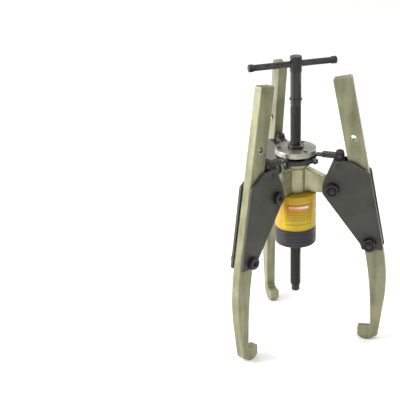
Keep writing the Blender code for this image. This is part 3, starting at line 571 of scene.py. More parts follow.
def windingTree():
    tree, graph, given = newTree("winding", (
        ("Turns", 'NodeSocketFloat', 8.0), ("Radius", 'NodeSocketFloat', 0.01),
        ("Rise", 'NodeSocketFloat', 0.01),
        ("Wire", 'NodeSocketFloat', 0.001), ("Steps", 'NodeSocketInt', 24), ("Sides", 'NodeSocketInt', 3),
        ("Tip", 'NodeSocketFloat', 0.0), ("Finish", 'NodeSocketMaterial', None)))
    path = graph.node("GeometryNodeCurveSpiral", {}, {
        "Resolution": given.of("Steps"), "Rotations": given.of("Turns"), "Start Radius": given.of("Radius"),
        "End Radius": given.of("Radius"), "Height": given.of("Rise")})
    path = graph.node("GeometryNodeSetCurveNormal", {"mode": 'Z_UP'}, {"Curve": path})
    section = graph.node("GeometryNodeCurvePrimitiveCircle", {}, {"Resolution": given.of("Sides"),
                                                                  "Radius": given.of("Wire")})
    tip = graph.node("ShaderNodeCombineXYZ", {}, {"Z": given.of("Tip")})
    section = graph.node("GeometryNodeTransform", {}, {"Geometry": section, "Rotation": tip})
    tube = graph.node("GeometryNodeCurveToMesh", {},
                      {"Curve": path, "Profile Curve": section, "Fill Caps": True})
    endTree(graph, tube, given)
    return tree


def madeBy(tree, values):
    blank = blankOf(tree.name, bpy.data.meshes.new(tree.name))
    modifier = blank.modifiers.new(tree.name, 'NODES')
    modifier.node_group = tree
    for item in tree.interface.items_tree:
        if item.in_out == 'INPUT' and item.name in values:
            modifier[item.identifier] = values[item.name]
    return evaluated(blank)


ridgeRing = ridgeTree()
winding = windingTree()
print("node trees made")


# jaws: bar, two plates, bolts and nuts, all drawn about the ear pivot with X outwards and Y along the pivot
jawFrames = {}
for number in jawNumbers:
    pivot = jointAt[f"jaw_{number}_swing"]
    jawFrames[number] = Matrix.Translation(pivot) @ turnZ(headingOf(pivot))
pivotRadius = hypot(*jointAt["jaw_1_swing"][:2])
pivotHeight = jointAt["jaw_1_swing"][2] - floorZ
jawBoltOut = middleOf("jaw_bolt_1").x - pivotRadius
jawBoltDrop = jointAt["jaw_1_swing"][2] - middleOf("jaw_bolt_1").z

jawBar = {
    "thickness": 0.017, "width": 0.032, "lean": radians(11.1), "rise": 0.3007, "offset": 0.0039,
    "topRound": 0.0034, "outerBend": (-0.0715, 0.34), "innerBend": (-0.066, 0.65),
    "heel": (0.1505, 0.009, 0.012),
    "foot": ((0.134, 0.008), (0.123, 0.007)), "toe": (0.1138, 0.0065, 0.024), "toeRounds": (0.003, 0.0022),
    "throat": (0.137, 0.005), "boltHole": 0.0073, "boltHoleLip": 0.0005,
    "edge": 0.0026, "edgeSteps": 5, "holeUp": 0.194, "hole": 0.0053, "holeLip": 0.0009,
}


def jawPoint(radius, height):
    return radius - pivotRadius, height - pivotHeight


def barPoint(up, out):
    out = out + jawBar["offset"]
    lean = jawBar["lean"]
    return (jawBoltOut + out * cos(lean) - up * sin(lean), -jawBoltDrop + out * sin(lean) + up * cos(lean))


def jawBarMesh():
    half = jawBar["width"] / 2
    toeRadius, toeLip, toeHeight = jawBar["toe"]
    corners = [
        (*barPoint(jawBar["rise"], -half), jawBar["topRound"]),
        (*barPoint(jawBar["rise"], half), jawBar["topRound"]),
        (*barPoint(jawBar["outerBend"][0], half), jawBar["outerBend"][1]),
        (*jawPoint(*jawBar["heel"][:2]), jawBar["heel"][2]),
        (*jawPoint(jawBar["foot"][0][0], 0), jawBar["foot"][0][1]),
        (*jawPoint(jawBar["foot"][1][0], 0), jawBar["foot"][1][1]),
        (*jawPoint(toeRadius, toeLip), jawBar["toeRounds"][0]),
        (*jawPoint(toeRadius, toeHeight), jawBar["toeRounds"][1]),
        (*jawPoint(jawBar["throat"][0], toeHeight), jawBar["throat"][1]),
        (*barPoint(jawBar["innerBend"][0], -half), jawBar["innerBend"][1]),
    ]
    thick = jawBar["thickness"] / 2
    blank = edged(blankOf("bar", slabMesh(corners, -thick, thick)), jawBar["edge"], jawBar["edgeSteps"], 50)
    x, z = barPoint(jawBar["holeUp"], 0)
    holes = [throughHole(jawBar["hole"], thick, jawBar["holeLip"], (x, 0, z)),
             throughHole(jawBar["boltHole"], thick, jawBar["boltHoleLip"], (jawBoltOut, 0, -jawBoltDrop))]
    return finishedMesh(joined(blank, holes), holes)


sidePlate = {
    "thickness": 0.0055, "face": 0.0088, "edge": 0.0009, "hole": 0.0073, "pinHole": 0.0043, "lip": 0.0004,
    "outline": ((0.0487, 0.2821, 0.006), (0.0487, 0.2996, 0.006), (0.066, 0.3438, 0.0025),
                (0.098, 0.3438, 0.012),
                (0.1295, 0.3245, 0.005), (0.156, 0.183, 0.003), (0.119, 0.181, 0.003),
                (0.1155, 0.192, 0.006)),
    "spacer": (0.080, 0.309, 0.322), "spacerRound": 0.0015,
}
trunnionAt = jawFrames[1].inverted() @ jointAt["trunnion_1_swivel"]


def plateMesh(side):
    face, thick = sidePlate["face"], sidePlate["thickness"]
    corners = [(*jawPoint(x, z), radius) for x, z, radius in sidePlate["outline"]]
    low, high = (face, face + thick) if side > 0 else (-face - thick, -face)
    blank = blankOf("plate", slabMesh(corners, low, high))
    tools = []
    if side > 0:
        inner, foot, top = sidePlate["spacer"]
        backs = []
        for height in (foot, top):
            x, z = barPoint(0, -jawBar["width"] / 2)
            backs.append((x - (height - pivotHeight - z) * tan(jawBar["lean"]) - gap, height - pivotHeight))
        spacer = blankOf("spacer", slabMesh([
            (*jawPoint(inner, foot), sidePlate["spacerRound"]), backs[0], backs[1],
            (*jawPoint(inner, top), sidePlate["spacerRound"])], -jawBar["thickness"] / 2, face + thick / 2))
        tools.append(spacer)
        joined(blank, [spacer], 'UNION')
    edged(blank, sidePlate["edge"], 3, 45)
    middle = (low + high) / 2
    holes = [throughHole(radius, thick / 2, sidePlate["lip"], (x, middle, z)) for radius, x, z in (
        (sidePlate["hole"], 0, 0), (sidePlate["hole"], jawBoltOut, -jawBoltDrop),
        (sidePlate["pinHole"], trunnionAt.x, trunnionAt.z))]
    return finishedMesh(joined(blank, holes), tools + holes)


socketBolts = {   # shank, length under the head, head radius and height, socket corner and depth, ridges
    "jaw": {"shank": 0.007, "length": 0.0402, "head": 0.011, "tall": 0.0085, "socket": 0.0055, "deep": 0.0045,
            "ridges": 44, "ridge": 0.0009},
    "link": {"shank": 0.004, "length": 0.0123, "head": 0.007, "tall": 0.0055, "socket": 0.0032, "deep": 0.003,
             "ridges": 32, "ridge": 0.0007},
    "disc": {"shank": 0.0025, "length": 0.017, "head": 0.0042, "tall": 0.0042, "socket": 0.0023,
             "deep": 0.002,
             "ridges": 24, "ridge": 0.0005},
}
knurl = {"tall": 0.72, "middle": 0.43, "sunk": 0.12,
         "wide": 0.86}   # shares of the head's height and the ridge


def threadedTail(shank, start, end, pitch):
    turns = max(int((start - end) / pitch), 1)
    tail = []
    for turn in range(turns):
        z = start - turn * pitch
        tail += [(shank, z - pitch * 0.15, 0), (shank, z - pitch * 0.4, 0),
                 (shank * 0.92, z - pitch * 0.75, 0)]
    return tail


def socketBoltMesh(size, thread=0.45):
    head, tall, shank = size["head"], size["tall"], size["shank"]
    core = head - size["ridge"] * 0.5
    outline = [(0, tall, 0), (core - 0.0010, tall, 0), (core, tall * 0.86, 0), (core, 0.0004, 0),
               (core - 0.0004, 0, 0), (shank, 0, 0)]
    outline += threadedTail(shank, -size["length"] * (1 - thread), -size["length"] + 0.0006, shank * 0.2)
    outline += [(shank * 0.85, -size["length"], 0), (0, -size["length"], 0)]
    blank = blankOf("bolt", turnedMesh(outline, steps=48))
    socket = blankOf("socket", turnedMesh([(0, tall - size["deep"] - size["socket"] * 0.35),
                                           (size["socket"], tall - size["deep"]),
                                           (size["socket"], tall + 0.001),
                                           (0, tall + 0.001)], steps=6))
    lead = blankOf("lead", turnedMesh([(0, tall - size["socket"] * 0.5),
                                       (size["socket"] * 1.2, tall + 0.0004),
                                       (0, tall + 0.0004)], steps=48))
    solid = finishedMesh(joined(blank, [socket, lead]), [socket, lead])
    ridges = madeBy(ridgeRing, {"Count": size["ridges"], "Radius": core - size["ridge"] * knurl["sunk"],
                                "Length": tall * knurl["tall"], "Width": size["ridge"] * knurl["wide"]})
    ridges.transform(lift(tall * knurl["middle"]))
    return merged(solid, ridges)


hexShape = {"flat": 0.87, "drop": 0.62, "lip": 0.12, "margin": 0.0003}   # the first three are shares


def hexMesh(size):      # a hexagon with both faces turned down to a circle, then bored
    corner, tall, hole = size["corner"], size["tall"], size["hole"]
    blank = blankOf("hex", rodMesh(corner, 0, tall, steps=6))
    flat, wide = corner * hexShape["flat"], corner + hexShape["margin"]
    drop = (corner - flat) * hexShape["drop"]
    shell = blankOf("shell", turnedMesh([
        (0, -overCut), (flat, -overCut), (flat, 0), (wide, drop), (wide, tall - drop), (flat, tall),
        (flat, tall + overCut), (0, tall + overCut)], steps=72))
    bore = blankOf("bore", flaredRod(hole, 0, tall, hole * hexShape["lip"]))
    joined(blank, [shell], 'INTERSECT')
    joined(blank, [bore])
    return finishedMesh(blank, [shell, bore])


hexNuts = {"jaw": {"corner": 0.0127, "tall": 0.009, "hole": 0.0073},
           "stud": {"corner": 0.0060, "tall": 0.0065, "hole": 0.0033}}
boltPlace = {"seat": 0.0146, "twist": radians(11),
             "twistStep": radians(9)}   # seat: out from the bar's middle
barMesh = jawBarMesh()
plates = {"near": plateMesh(-1), "far": plateMesh(1)}
boltMesh = moved(socketBoltMesh(socketBolts["jaw"]), toY(), Matrix.Translation((0, boltPlace["seat"], 0)))
nutMesh = moved(hexMesh(hexNuts["jaw"]), toY(-1), Matrix.Translation((0, -boltPlace["seat"], 0)))
for number, jawFrame in jawFrames.items():
    body = f"jaw_{number}"
    standFor(f"jawBar{number}", barMesh, f"jaw_bar_{number}", body, "barPlating", jawFrame)
    for side in ("near", "far"):
        standFor(f"{side}Plate{number}", plates[side], f"{side}_plate_{number}", body, "platePhosphate",
                 jawFrame)
    lower = jawFrame @ Matrix.Translation((jawBoltOut, 0, -jawBoltDrop))
    twist = Matrix.Rotation(boltPlace["twist"] + boltPlace["twistStep"] * number, 4, 'Y')
    for where, place in (("pivot", jawFrame @ twist), ("jaw", lower @ twist @ twist)):
        standFor(f"{where}Bolt{number}", boltMesh, f"{where}_bolt_{number}", body, "blackOxide", place)
        standFor(f"{where}Nut{number}", nutMesh, f"{where}_nut_{number}", body, "blackOxide", place)
print("jaws made")


# head block: turned barrel, flange and neck grown together with three ears, then bored
headBlock = {
    "hole": 0.0105, "spigotHole": 0.0163, "spigotTop": 0.3033, "barrel": 0.0200, "flange": 0.026,
    "flangeHeights": (0.3285, 0.3377), "shoulder": 0.0197, "shoulderTop": 0.3500, "neck": 0.0127,
    "neckTop": 0.3651, "bottom": 0.281, "ear": 0.0113, "earBottom": 0.2814, "earTop": 0.3252,
    "earThick": 0.017,
    "earRounds": (0.88, 0.97), "earEdge": 0.0012, "earRoot": 0.004, "bore": 0.0073, "boreLip": 0.0005,
    "grain": 0.00085, "smoothing": 7, "sharpFrom": 38,
}


def headMesh():
    size = headBlock
    low, high = size["flangeHeights"]
    blank = blankOf("head", turnedMesh([
        (size["neck"], size["neckTop"]), (size["neck"], size["shoulderTop"]),
        (size["shoulder"], size["shoulderTop"]), (size["shoulder"], high),
        (size["flange"], high, 0.0008), (size["flange"], low + 0.002, 0.0008),
        (size["flange"] - 0.002, low, 0.0005), (size["barrel"], low - 0.003, 0.002),
        (size["barrel"], size["bottom"]), (size["hole"] - 0.001, size["bottom"]),
        (size["hole"] - 0.001, size["neckTop"])], hollow=True, steps=96, up=floorZ))
    root = size["barrel"] - size["earRoot"]
    rise = atan2(size["earTop"] - pivotHeight - size["ear"], pivotRadius - size["barrel"])
    end = pivotRadius + size["ear"]
    top = pivotHeight + size["ear"] * (1 - sin(rise)) / cos(rise)
    ears = []
    for number in jawNumbers:
        ear = slabMesh([
            (root, size["earBottom"]), (end, size["earBottom"], size["ear"] * size["earRounds"][0]),
            (end, top, size["ear"] * size["earRounds"][1]), (size["barrel"], size["earTop"]),
            (root, size["earTop"])], -size["earThick"] / 2, size["earThick"] / 2, up=floorZ)
        ears.append(blankOf("ear", moved(ear, turnZ(headingOf(jointAt[f"jaw_{number}_swing"])))))
        edged(ears[-1], size["earEdge"], 3, 50)
    joined(blank, ears, 'UNION')
    cast = blank.modifiers.new("Cast", 'REMESH')
    cast.mode = 'VOXEL'
    cast.voxel_size = size["grain"]
    rub = blank.modifiers.new("Rub", 'SMOOTH')
    rub.factor = 0.5
    rub.iterations = size["smoothing"]
    mesh = weld(evaluated(blank))
    for ear in ears:
        bpy.data.objects.remove(ear, do_unlink=True)
    blank = blankOf("castHead", mesh)
    cuts = []
    for number in jawNumbers:
        cutter = throughHole(size["bore"], size["earThick"] / 2, size["boreLip"], steps=64)
        moved(cutter.data, jawFrames[number])
        cuts.append(cutter)
    cuts.append(blankOf("screwHole", turnedMesh([
        (0, size["bottom"] - 0.002), (size["spigotHole"], size["bottom"] - 0.002),
        (size["spigotHole"], size["spigotTop"]), (size["hole"], size["spigotTop"]),
        (size["hole"], size["neckTop"] + 0.002), (0, size["neckTop"] + 0.002)], steps=64, up=floorZ)))
    return finishedMesh(joined(blank, cuts), cuts, size["sharpFrom"])


standFor("headBlock", headMesh(), "head_block", "root", "headPlating")

neckNut = {"radius": 0.014, "low": 0.3606, "high": 0.3651, "hole": 0.0130}


def neckNutMesh():
    size = neckNut
    blank = blankOf("neckNut", turnedMesh([
        (size["radius"], size["high"], 0.0006), (size["radius"], size["low"], 0.0004),
        (size["hole"], size["low"]), (size["hole"], size["high"])], hollow=True, steps=72, up=floorZ))
    return finishedMesh(blank)


standFor("neckNut", neckNutMesh(), "neck_nut", "root", "blackOxide")
print("head made")


# ring, disc, screws, studs and their nuts
timingRing = {
    "radius": 0.0355, "low": 0.338, "high": 0.346, "inner": 0.0200, "edge": 0.0009, "padRadius": 0.0055,
    "padTop": 0.3500, "stud": 0.0033, "screw": 0.0028,
    "discLow": 0.3503, "discHigh": 0.3603, "discInner": 0.0130, "discEdge": 0.0012, "discSeat": 0.0045,
    "discSeatLow": 0.3558, "studDeep": 0.3561,
}
screwAngles = [headingOf(middleOf(f"disc_screw_{n}")) for n in jawNumbers]
studAngles = [headingOf(middleOf(f"link_stud_{n}")) for n in jawNumbers]
studCircle = hypot(*middleOf("link_stud_1")[:2])
screwCircle = hypot(*middleOf("disc_screw_1")[:2])


def pillar(radius, low, high, circle, angle, lip=0.0, steps=40):
    mesh = rodMesh(radius, low, high, lip, steps, floorZ)
    return blankOf("pillar", moved(mesh, Matrix.Translation((circle * cos(angle), circle * sin(angle), 0))))


def ringMesh():
    size = timingRing
    blank = blankOf("ring", turnedMesh([
        (size["radius"], size["high"], size["edge"]), (size["radius"], size["low"], size["edge"]),
        (size["inner"], size["low"], 0.0004), (size["inner"], size["high"], 0.0004)], hollow=True,
        steps=120, up=floorZ))
    pads = [pillar(size["padRadius"], size["low"] + 0.004, size["padTop"], screwCircle, angle, 0.0004)
            for angle in screwAngles]
    joined(blank, pads, 'UNION')
    holes = [pillar(size["stud"], size["low"] - 0.002, size["high"] + 0.002, studCircle,
                    a) for a in studAngles]
    holes += [pillar(size["screw"], size["low"] - 0.002, size["padTop"] + 0.002, screwCircle,
                     a) for a in screwAngles]
    return finishedMesh(joined(blank, holes), pads + holes)


def discMesh():
    size = timingRing
    blank = blankOf("disc", turnedMesh([
        (size["radius"], size["discHigh"], size["discEdge"]),
        (size["radius"], size["discLow"], size["discEdge"]),
        (size["discInner"], size["discLow"]), (size["discInner"], size["discHigh"], 0.0006)],
        hollow=True, steps=120, up=floorZ))
    holes = [pillar(size["stud"], size["discLow"] - 0.002, size["studDeep"], studCircle,
                    a) for a in studAngles]
    holes += [pillar(size["screw"], size["discLow"] - 0.002, size["discHigh"], screwCircle,
                     a) for a in screwAngles]
    holes += [pillar(size["discSeat"], size["discSeatLow"], size["discHigh"] + 0.002, screwCircle, a)
              for a in screwAngles]
    return finishedMesh(joined(blank, holes), holes)


standFor("timingRing", ringMesh(), "sync_ring", "sync_ring", "linkOxide")
standFor("timingDisc", discMesh(), "sync_disc", "sync_ring", "groundPlate")
discScrew = socketBoltMesh(socketBolts["disc"], 0.5)
linkStud = {"radius": 0.003, "end": 0.0026, "top": 0.3558, "shoulder": 0.3552, "threadLow": 0.3300,
            "bottom": 0.3292, "pitch": 0.0007, "nutTop": 0.3377, "screwSeat": 0.3561, "screwTwist": 0.4}
studMesh = dressed(turnedMesh(
    [(0, linkStud["top"]), (linkStud["end"], linkStud["top"]), (linkStud["radius"], linkStud["shoulder"])]
    + threadedTail(linkStud["radius"], linkStud["shoulder"], linkStud["threadLow"], linkStud["pitch"])
    + [(linkStud["end"], linkStud["bottom"]), (0, linkStud["bottom"])], steps=32, up=floorZ))
studNut = moved(hexMesh(hexNuts["stud"]),
                lift(level(linkStud["nutTop"] - hexNuts["stud"]["tall"])))
for index, number in enumerate(jawNumbers):
    x, y = screwCircle * cos(screwAngles[index]), screwCircle * sin(screwAngles[index])
    at = Matrix.Translation((x, y, level(linkStud["screwSeat"]))) @ turnZ(linkStud["screwTwist"] * number)
    standFor(f"discScrew{number}", discScrew, f"disc_screw_{number}", "sync_ring", "blackOxide", at)
    at = Matrix.Translation((studCircle * cos(studAngles[index]), studCircle * sin(studAngles[index]), 0))
    at = at @ turnZ(studAngles[index])
    standFor(f"linkStud{number}", studMesh, f"link_stud_{number}", "sync_ring", "groundPlate", at)
    standFor(f"studNut{number}", studNut, f"stud_nut_{number}", "sync_ring", "blackOxide", at)
print("ring and disc made")


# links: a tongue between ring and disc, a step up to the bar and an eye over the trunnion
linkBar = {"tongue": 0.0034, "tongueRound": 0.0062, "middle": 0.34815, "step": 0.013, "low": 0.3450,
           "high": 0.3535,
           "width": 0.0105, "eye": 0.008, "hole": 0.0053, "stud": 0.0033, "edge": 0.0008, "boltSeat": 0.3538,
           "boltTwist": 0.3}
trunnionBlock = {"half": 0.007, "low": 0.327, "high": 0.3435, "side": 0.0084, "pin": 0.004, "pinEnd": 0.01415,
                 "edge": 0.0010, "thread": 0.0043, "threadDeep": 0.3327}


def linkMesh():
    size = linkBar
    pivot = jointAt["link_1_swivel"]
    eyeAt = jointAt["trunnion_1_swivel"]
    length = hypot(eyeAt.x - pivot.x, eyeAt.y - pivot.y)
    half = size["width"] / 2
    end = size["step"] + half
    round_ = size["tongueRound"]
    low, high = level(size["middle"] - size["tongue"] / 2), level(size["middle"] + size["tongue"] / 2)
    tongue = blankOf("tongue", slabMesh([(-round_, -round_, round_ * 0.98), (end, -round_, round_ * 0.5),
                                         (end, round_, round_ * 0.5), (-round_, round_, round_ * 0.98)],
                                        low, high, True, radians(12)))
    blank = blankOf("link", slabMesh([(size["step"], -half, 0.0015), (length, -half), (length, half),
                                      (size["step"], half, 0.0015)], level(size["low"]),
                                      level(size["high"]), True))
    eye = blankOf("eye", rodMesh(size["eye"], size["low"], size["high"], steps=64, up=floorZ))
    moved(eye.data, Matrix.Translation((length, 0, 0)))
    joined(blank, [eye, tongue], 'UNION')
    edged(blank, size["edge"], 3, 40)
    holes = [pillar(radius, size["low"] - 10 * overCut, size["high"] + 10 * overCut, x, 0, steps=48)
             for radius, x in ((size["stud"], 0), (size["hole"], length))]
    return finishedMesh(joined(blank, holes), [eye, tongue] + holes)


def trunnionMesh():
    size = trunnionBlock
    base = floorZ - jointAt["trunnion_1_swivel"].z
    low, high, half = size["low"] + base, size["high"] + base, size["half"]
    blank = blankOf("trunnion", slabMesh([(-half, low, 0.002), (half, low, 0.002), (half, high, 0.0015),
                                          (-half, high, 0.0015)], -size["side"], size["side"]))
    edged(blank, size["edge"] * 0.6, 2, 50)
    end = size["pinEnd"]
    pin = blankOf("pin", moved(rodMesh(size["pin"], -end, end, 0.0006, 40), toY()))
    joined(blank, [pin], 'UNION')
    thread = blankOf("thread", rodMesh(size["thread"], size["threadDeep"] + base, high + 2 * overCut,
                                       steps=40))
    return finishedMesh(joined(blank, [thread]), [pin, thread])


linkShape, trunnionShape = linkMesh(), trunnionMesh()
linkBolt = socketBoltMesh(socketBolts["link"], 0.7)
for number in jawNumbers:
    pivot, eyeAt = jointAt[f"link_{number}_swivel"], jointAt[f"trunnion_{number}_swivel"]
    aim = turnZ(atan2(eyeAt.y - pivot.y, eyeAt.x - pivot.x))
    standFor(f"linkBar{number}", linkShape, f"link_{number}", f"link_{number}", "linkOxide",
             Matrix.Translation((pivot.x, pivot.y, 0)) @ aim)
    at = Matrix.Translation(eyeAt) @ turnZ(headingOf(eyeAt))
    standFor(f"trunnionBlock{number}", trunnionShape, f"trunnion_{number}", f"trunnion_{number}",
             "linkOxide", at)
    top = Matrix.Translation((eyeAt.x, eyeAt.y, level(linkBar["boltSeat"])))
    top = top @ turnZ(linkBar["boltTwist"] * number)
    standFor(f"linkBolt{number}", linkBolt, f"link_bolt_{number}", f"trunnion_{number}", "blackOxide", top)
print("links made")


# hydraulic cylinder and what shows of its ram
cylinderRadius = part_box("cylinder_collar")[1].x
cylinderBody = {"radius": cylinderRadius, "low": 0.2165, "high": 0.2804, "edge": 0.0024, "spigot": 0.016,
                "spigotTop": 0.303, "thread": 0.031, "bottom": 0.1886, "bore": 0.0275, "roof": 0.2714,
                "guide": 0.0135, "guideLow": 0.201, "hole": 0.0105, "port": 0.0063, "portHeight": 0.255,
                "portStart": 0.024, "portEnd": 0.04}
collar = {"radius": cylinderRadius, "high": 0.2162, "low": 0.1843, "lip": 0.0231, "lipHigh": 0.1883,
          "thread": 0.0313,
          "grooves": 3, "grooveDeep": 0.0006, "grooveWide": 0.0016, "grooveTop": 0.2105, "grooveStep": 0.0062}


def cylinderMesh():
    size = cylinderBody
    blank = blankOf("cylinder", turnedMesh([
        (size["spigot"], size["spigotTop"], 0.0006), (size["spigot"], size["high"]),
        (size["radius"], size["high"], size["edge"]), (size["radius"], size["low"], 0.0007),
        (size["thread"], size["low"]), (size["thread"], size["bottom"], 0.0004),
        (size["bore"], size["bottom"], 0.0003), (size["bore"], size["roof"], 0.0008),
        (size["guide"], size["roof"], 0.0005), (size["guide"], size["guideLow"], 0.0003),
        (size["hole"], size["guideLow"], 0.0003), (size["hole"], size["spigotTop"], 0.0004)],
        hollow=True, steps=128, up=floorZ))
    port = blankOf("port", moved(rodMesh(size["port"], size["portStart"], size["portEnd"]), toY(),
                                 lift(level(size["portHeight"]))))
    return finishedMesh(joined(blank, [port]), [port])


def collarMesh():
    size = collar
    outline = [(size["radius"], size["high"], 0.0008)]
    for index in range(size["grooves"]):
        top = size["grooveTop"] - index * size["grooveStep"]
        deep, foot = size["radius"] - size["grooveDeep"], top - size["grooveWide"]
        outline += [(size["radius"], top), (deep, top - size["grooveDeep"]), (deep, foot),
                    (size["radius"], foot - size["grooveDeep"])]
    outline += [(size["radius"], size["low"], 0.0018), (size["lip"], size["low"], 0.0006),
                (size["lip"], size["lipHigh"], 0.0003), (size["thread"], size["lipHigh"]),
                (size["thread"], size["high"], 0.0003)]
    return finishedMesh(blankOf("collar", turnedMesh(outline, hollow=True, steps=128, up=floorZ)))


standFor("cylinderShell", cylinderMesh(), "cylinder_body", "root", "yellowEnamel")
standFor("collarNut", collarMesh(), "cylinder_collar", "root", "collarOxide")

ram = {"radius": 0.0222, "low": 0.1846, "high": 0.2711, "piston": 0.027, "pistonLow": 0.2579,
       "saddle": 0.0177,
       "saddleHigh": 0.2000, "bore": 0.0138, "screwHole": 0.0098, "sealDeep": 0.0028, "sealMiddle": 0.2645,
       "sealHalf": 0.0025}


def plungerMesh():
    size = ram
    groove = size["piston"] - size["sealDeep"]
    grooveLow, grooveHigh = (size["sealMiddle"] + side * size["sealHalf"] for side in (-1, 1))
    return finishedMesh(blankOf("plunger", turnedMesh([
        (size["piston"], size["high"], 0.0005), (size["piston"], grooveHigh), (groove, grooveHigh),
        (groove, grooveLow), (size["piston"], grooveLow), (size["piston"], size["pistonLow"], 0.0005),
        (size["radius"], size["pistonLow"], 0.0008), (size["radius"], size["low"], 0.0010),
        (size["saddle"] + gap, size["low"], 0.0006), (size["saddle"] + gap, size["saddleHigh"] + gap),
        (size["bore"], size["saddleHigh"] + gap), (size["bore"], size["high"], 0.0004)],
        hollow=True, steps=96, up=floorZ)))


standFor("plungerTube", plungerMesh(), "plunger", "ram", "groundPlate")
saddle = [(ram[side], ram[end], 0.0008) for side, end in (
    ("saddle", "saddleHigh"), ("saddle", "low"), ("screwHole", "low"), ("screwHole", "saddleHigh"))]
standFor("saddleNut", finishedMesh(blankOf("saddle", turnedMesh(saddle, hollow=True, steps=96, up=floorZ))),
         "saddle", "ram", "linkOxide")
keepNode("gland_ring", "groundPlate")
keepNode("wiper_ring", "sealRubber")
keepNode("piston_seal", "sealRubber")
springLow, springHigh = (corner.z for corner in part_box("return_spring"))
springSize = {"radius": 0.02485, "wire": 0.0012, "turns": 4.0}
springShape = madeBy(winding, {"Turns": springSize["turns"], "Radius": springSize["radius"],
                               "Rise": springHigh - springLow - 2 * springSize["wire"],
                               "Wire": springSize["wire"], "Steps": 48, "Sides": 12})
springShape.transform(lift(springLow + springSize["wire"]))
ramTravel = next(joint for joint in frame["joints"] if joint["name"] == "ram_slide")["range_m"][1]
spring = standFor("returnSpring", merged(springShape), "return_spring", "root", "groundPlate")
# the spring stays one rigid shape; the line below works out the ram's travel as a share of the spring's
# length but nothing uses it
1 - ramTravel / (springHigh - springLow)
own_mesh(spring)
print("cylinder made")

couplerFace = cylinderRadius + gap
coupler = {"height": 0.255, "face": couplerFace, "hex": 0.011, "hexEnd": couplerFace + 0.008, "body": 0.0092,
           "nose": couplerFace + 0.032, "stub": 0.006, "stubStart": 0.0288, "ridges": 40, "capOuter": 0.0115,
           "capStart": couplerFace + 0.0153, "capEnd": couplerFace + 0.0353, "capInner": 0.0095,
           "hexHole": 0.001,
           "edge": 0.002, "neckDeep": 0.0015, "ridgeMiddle": 0.0095, "ridgeLong": 0.006, "ridgeWide": 0.0006,
           "capGrooves": 4, "grooveStart": 0.006, "grooveStep": 0.0026}


def couplerMesh():
    size = coupler
    neck = size["body"] - size["neckDeep"]
    body = turnedMesh([
        (0, size["nose"]), (size["body"] - size["edge"], size["nose"]),
        (size["body"], size["nose"] - size["edge"]), (size["body"], size["hexEnd"] + 0.006, 0.0004),
        (neck, size["hexEnd"] + 0.005), (neck, size["hexEnd"] - 0.002),
        (size["stub"], size["hexEnd"] - 0.002), (size["stub"], size["stubStart"], 0.0004),
        (0, size["stubStart"])],
        steps=64)
    blank = blankOf("coupler", body)
    hexagon = blankOf("hexagon", moved(
        hexMesh({"corner": size["hex"], "tall": size["hexEnd"] - size["face"], "hole": size["hexHole"]}),
        lift(size["face"])))
    plug = blankOf("plug", rodMesh(3 * size["hexHole"], size["face"] + 0.0002, size["hexEnd"] - 0.0002,
                                   steps=24))
    joined(blank, [plug, hexagon], 'UNION')
    solid = finishedMesh(blank, [hexagon, plug])
    ridges = madeBy(ridgeRing, {"Count": size["ridges"], "Radius": size["body"] - 0.75 * size["ridgeWide"],
                                "Length": size["ridgeLong"], "Width": size["ridgeWide"]})
    ridges.transform(lift(size["hexEnd"] + size["ridgeMiddle"]))
    return merged(solid, ridges)


def capMesh():
    size = coupler
    outline = [(0, size["capEnd"], 0), (size["capOuter"], size["capEnd"], 0.0018)]
    for index in range(size["capGrooves"]):
        z = size["capEnd"] - size["grooveStart"] - index * size["grooveStep"]
        outline += [(size["capOuter"], z, 0), (size["capOuter"] - 0.0006, z - 0.0005, 0),
                    (size["capOuter"] - 0.0006, z - 0.0011, 0), (size["capOuter"], z - 0.0016, 0)]
    outline += [(size["capOuter"], size["capStart"], 0.0006), (size["capInner"], size["capStart"], 0.0004),
                (size["capInner"], size["nose"] + gap, 0), (0, size["nose"] + gap, 0)]
    return finishedMesh(blankOf("cap", turnedMesh(outline, steps=72)))


rearwards = lift(level(coupler["height"])) @ toY()
standFor("oilCoupler", couplerMesh(), "oil_coupler", "root", "groundPlate", rearwards)
standFor("dustCap", capMesh(), "dust_cap", "root", "sealRubber", rearwards)
print("coupler made")


# screw with its real thread, the free-turning point and the T-bar
screw = {"radius": 0.0095, "root": 0.0087, "pitch": 0.0015875, "bottom": 0.097, "threadTop": 0.436,
         "head": 0.0102,
         "headLow": 0.4946, "top": 0.5216, "ring": 0.0112, "ringHeights": (0.445, 0.449), "pinHole": 0.0038,
         "pinTop": 0.108, "barHole": 0.0058, "barHeight": 0.508, "barHoleFlare": 0.011,
         "threadSteps": 30, "threadTip": pi}
nose = {"pin": 0.0035, "pinTop": 0.1077, "shoulder": 0.0967, "radius": 0.0075, "taper": 0.0865,
        "flat": 0.0065,
        "bottom": 0.085}
handle = {"radius": 0.0055, "cap": 0.0066, "capLength": 0.009, "capEnd": 0.002}
slide = next(joint for joint in frame["joints"] if joint["name"] == "tbar_slide")
handleAim = turnZ(atan2(slide["axis"][1], slide["axis"][0]))
toHandle = handleAim @ Matrix.Rotation(pi / 2, 4, 'Y')
handleEnds = [middleOf("tbar_cap_1"), middleOf("tbar_cap_2")]
handlePlace = Matrix.Translation((handleEnds[0] + handleEnds[1]) / 2) @ toHandle
tbarHalf = (handleEnds[0] - handleEnds[1]).length / 2 + handle["capLength"] / 2


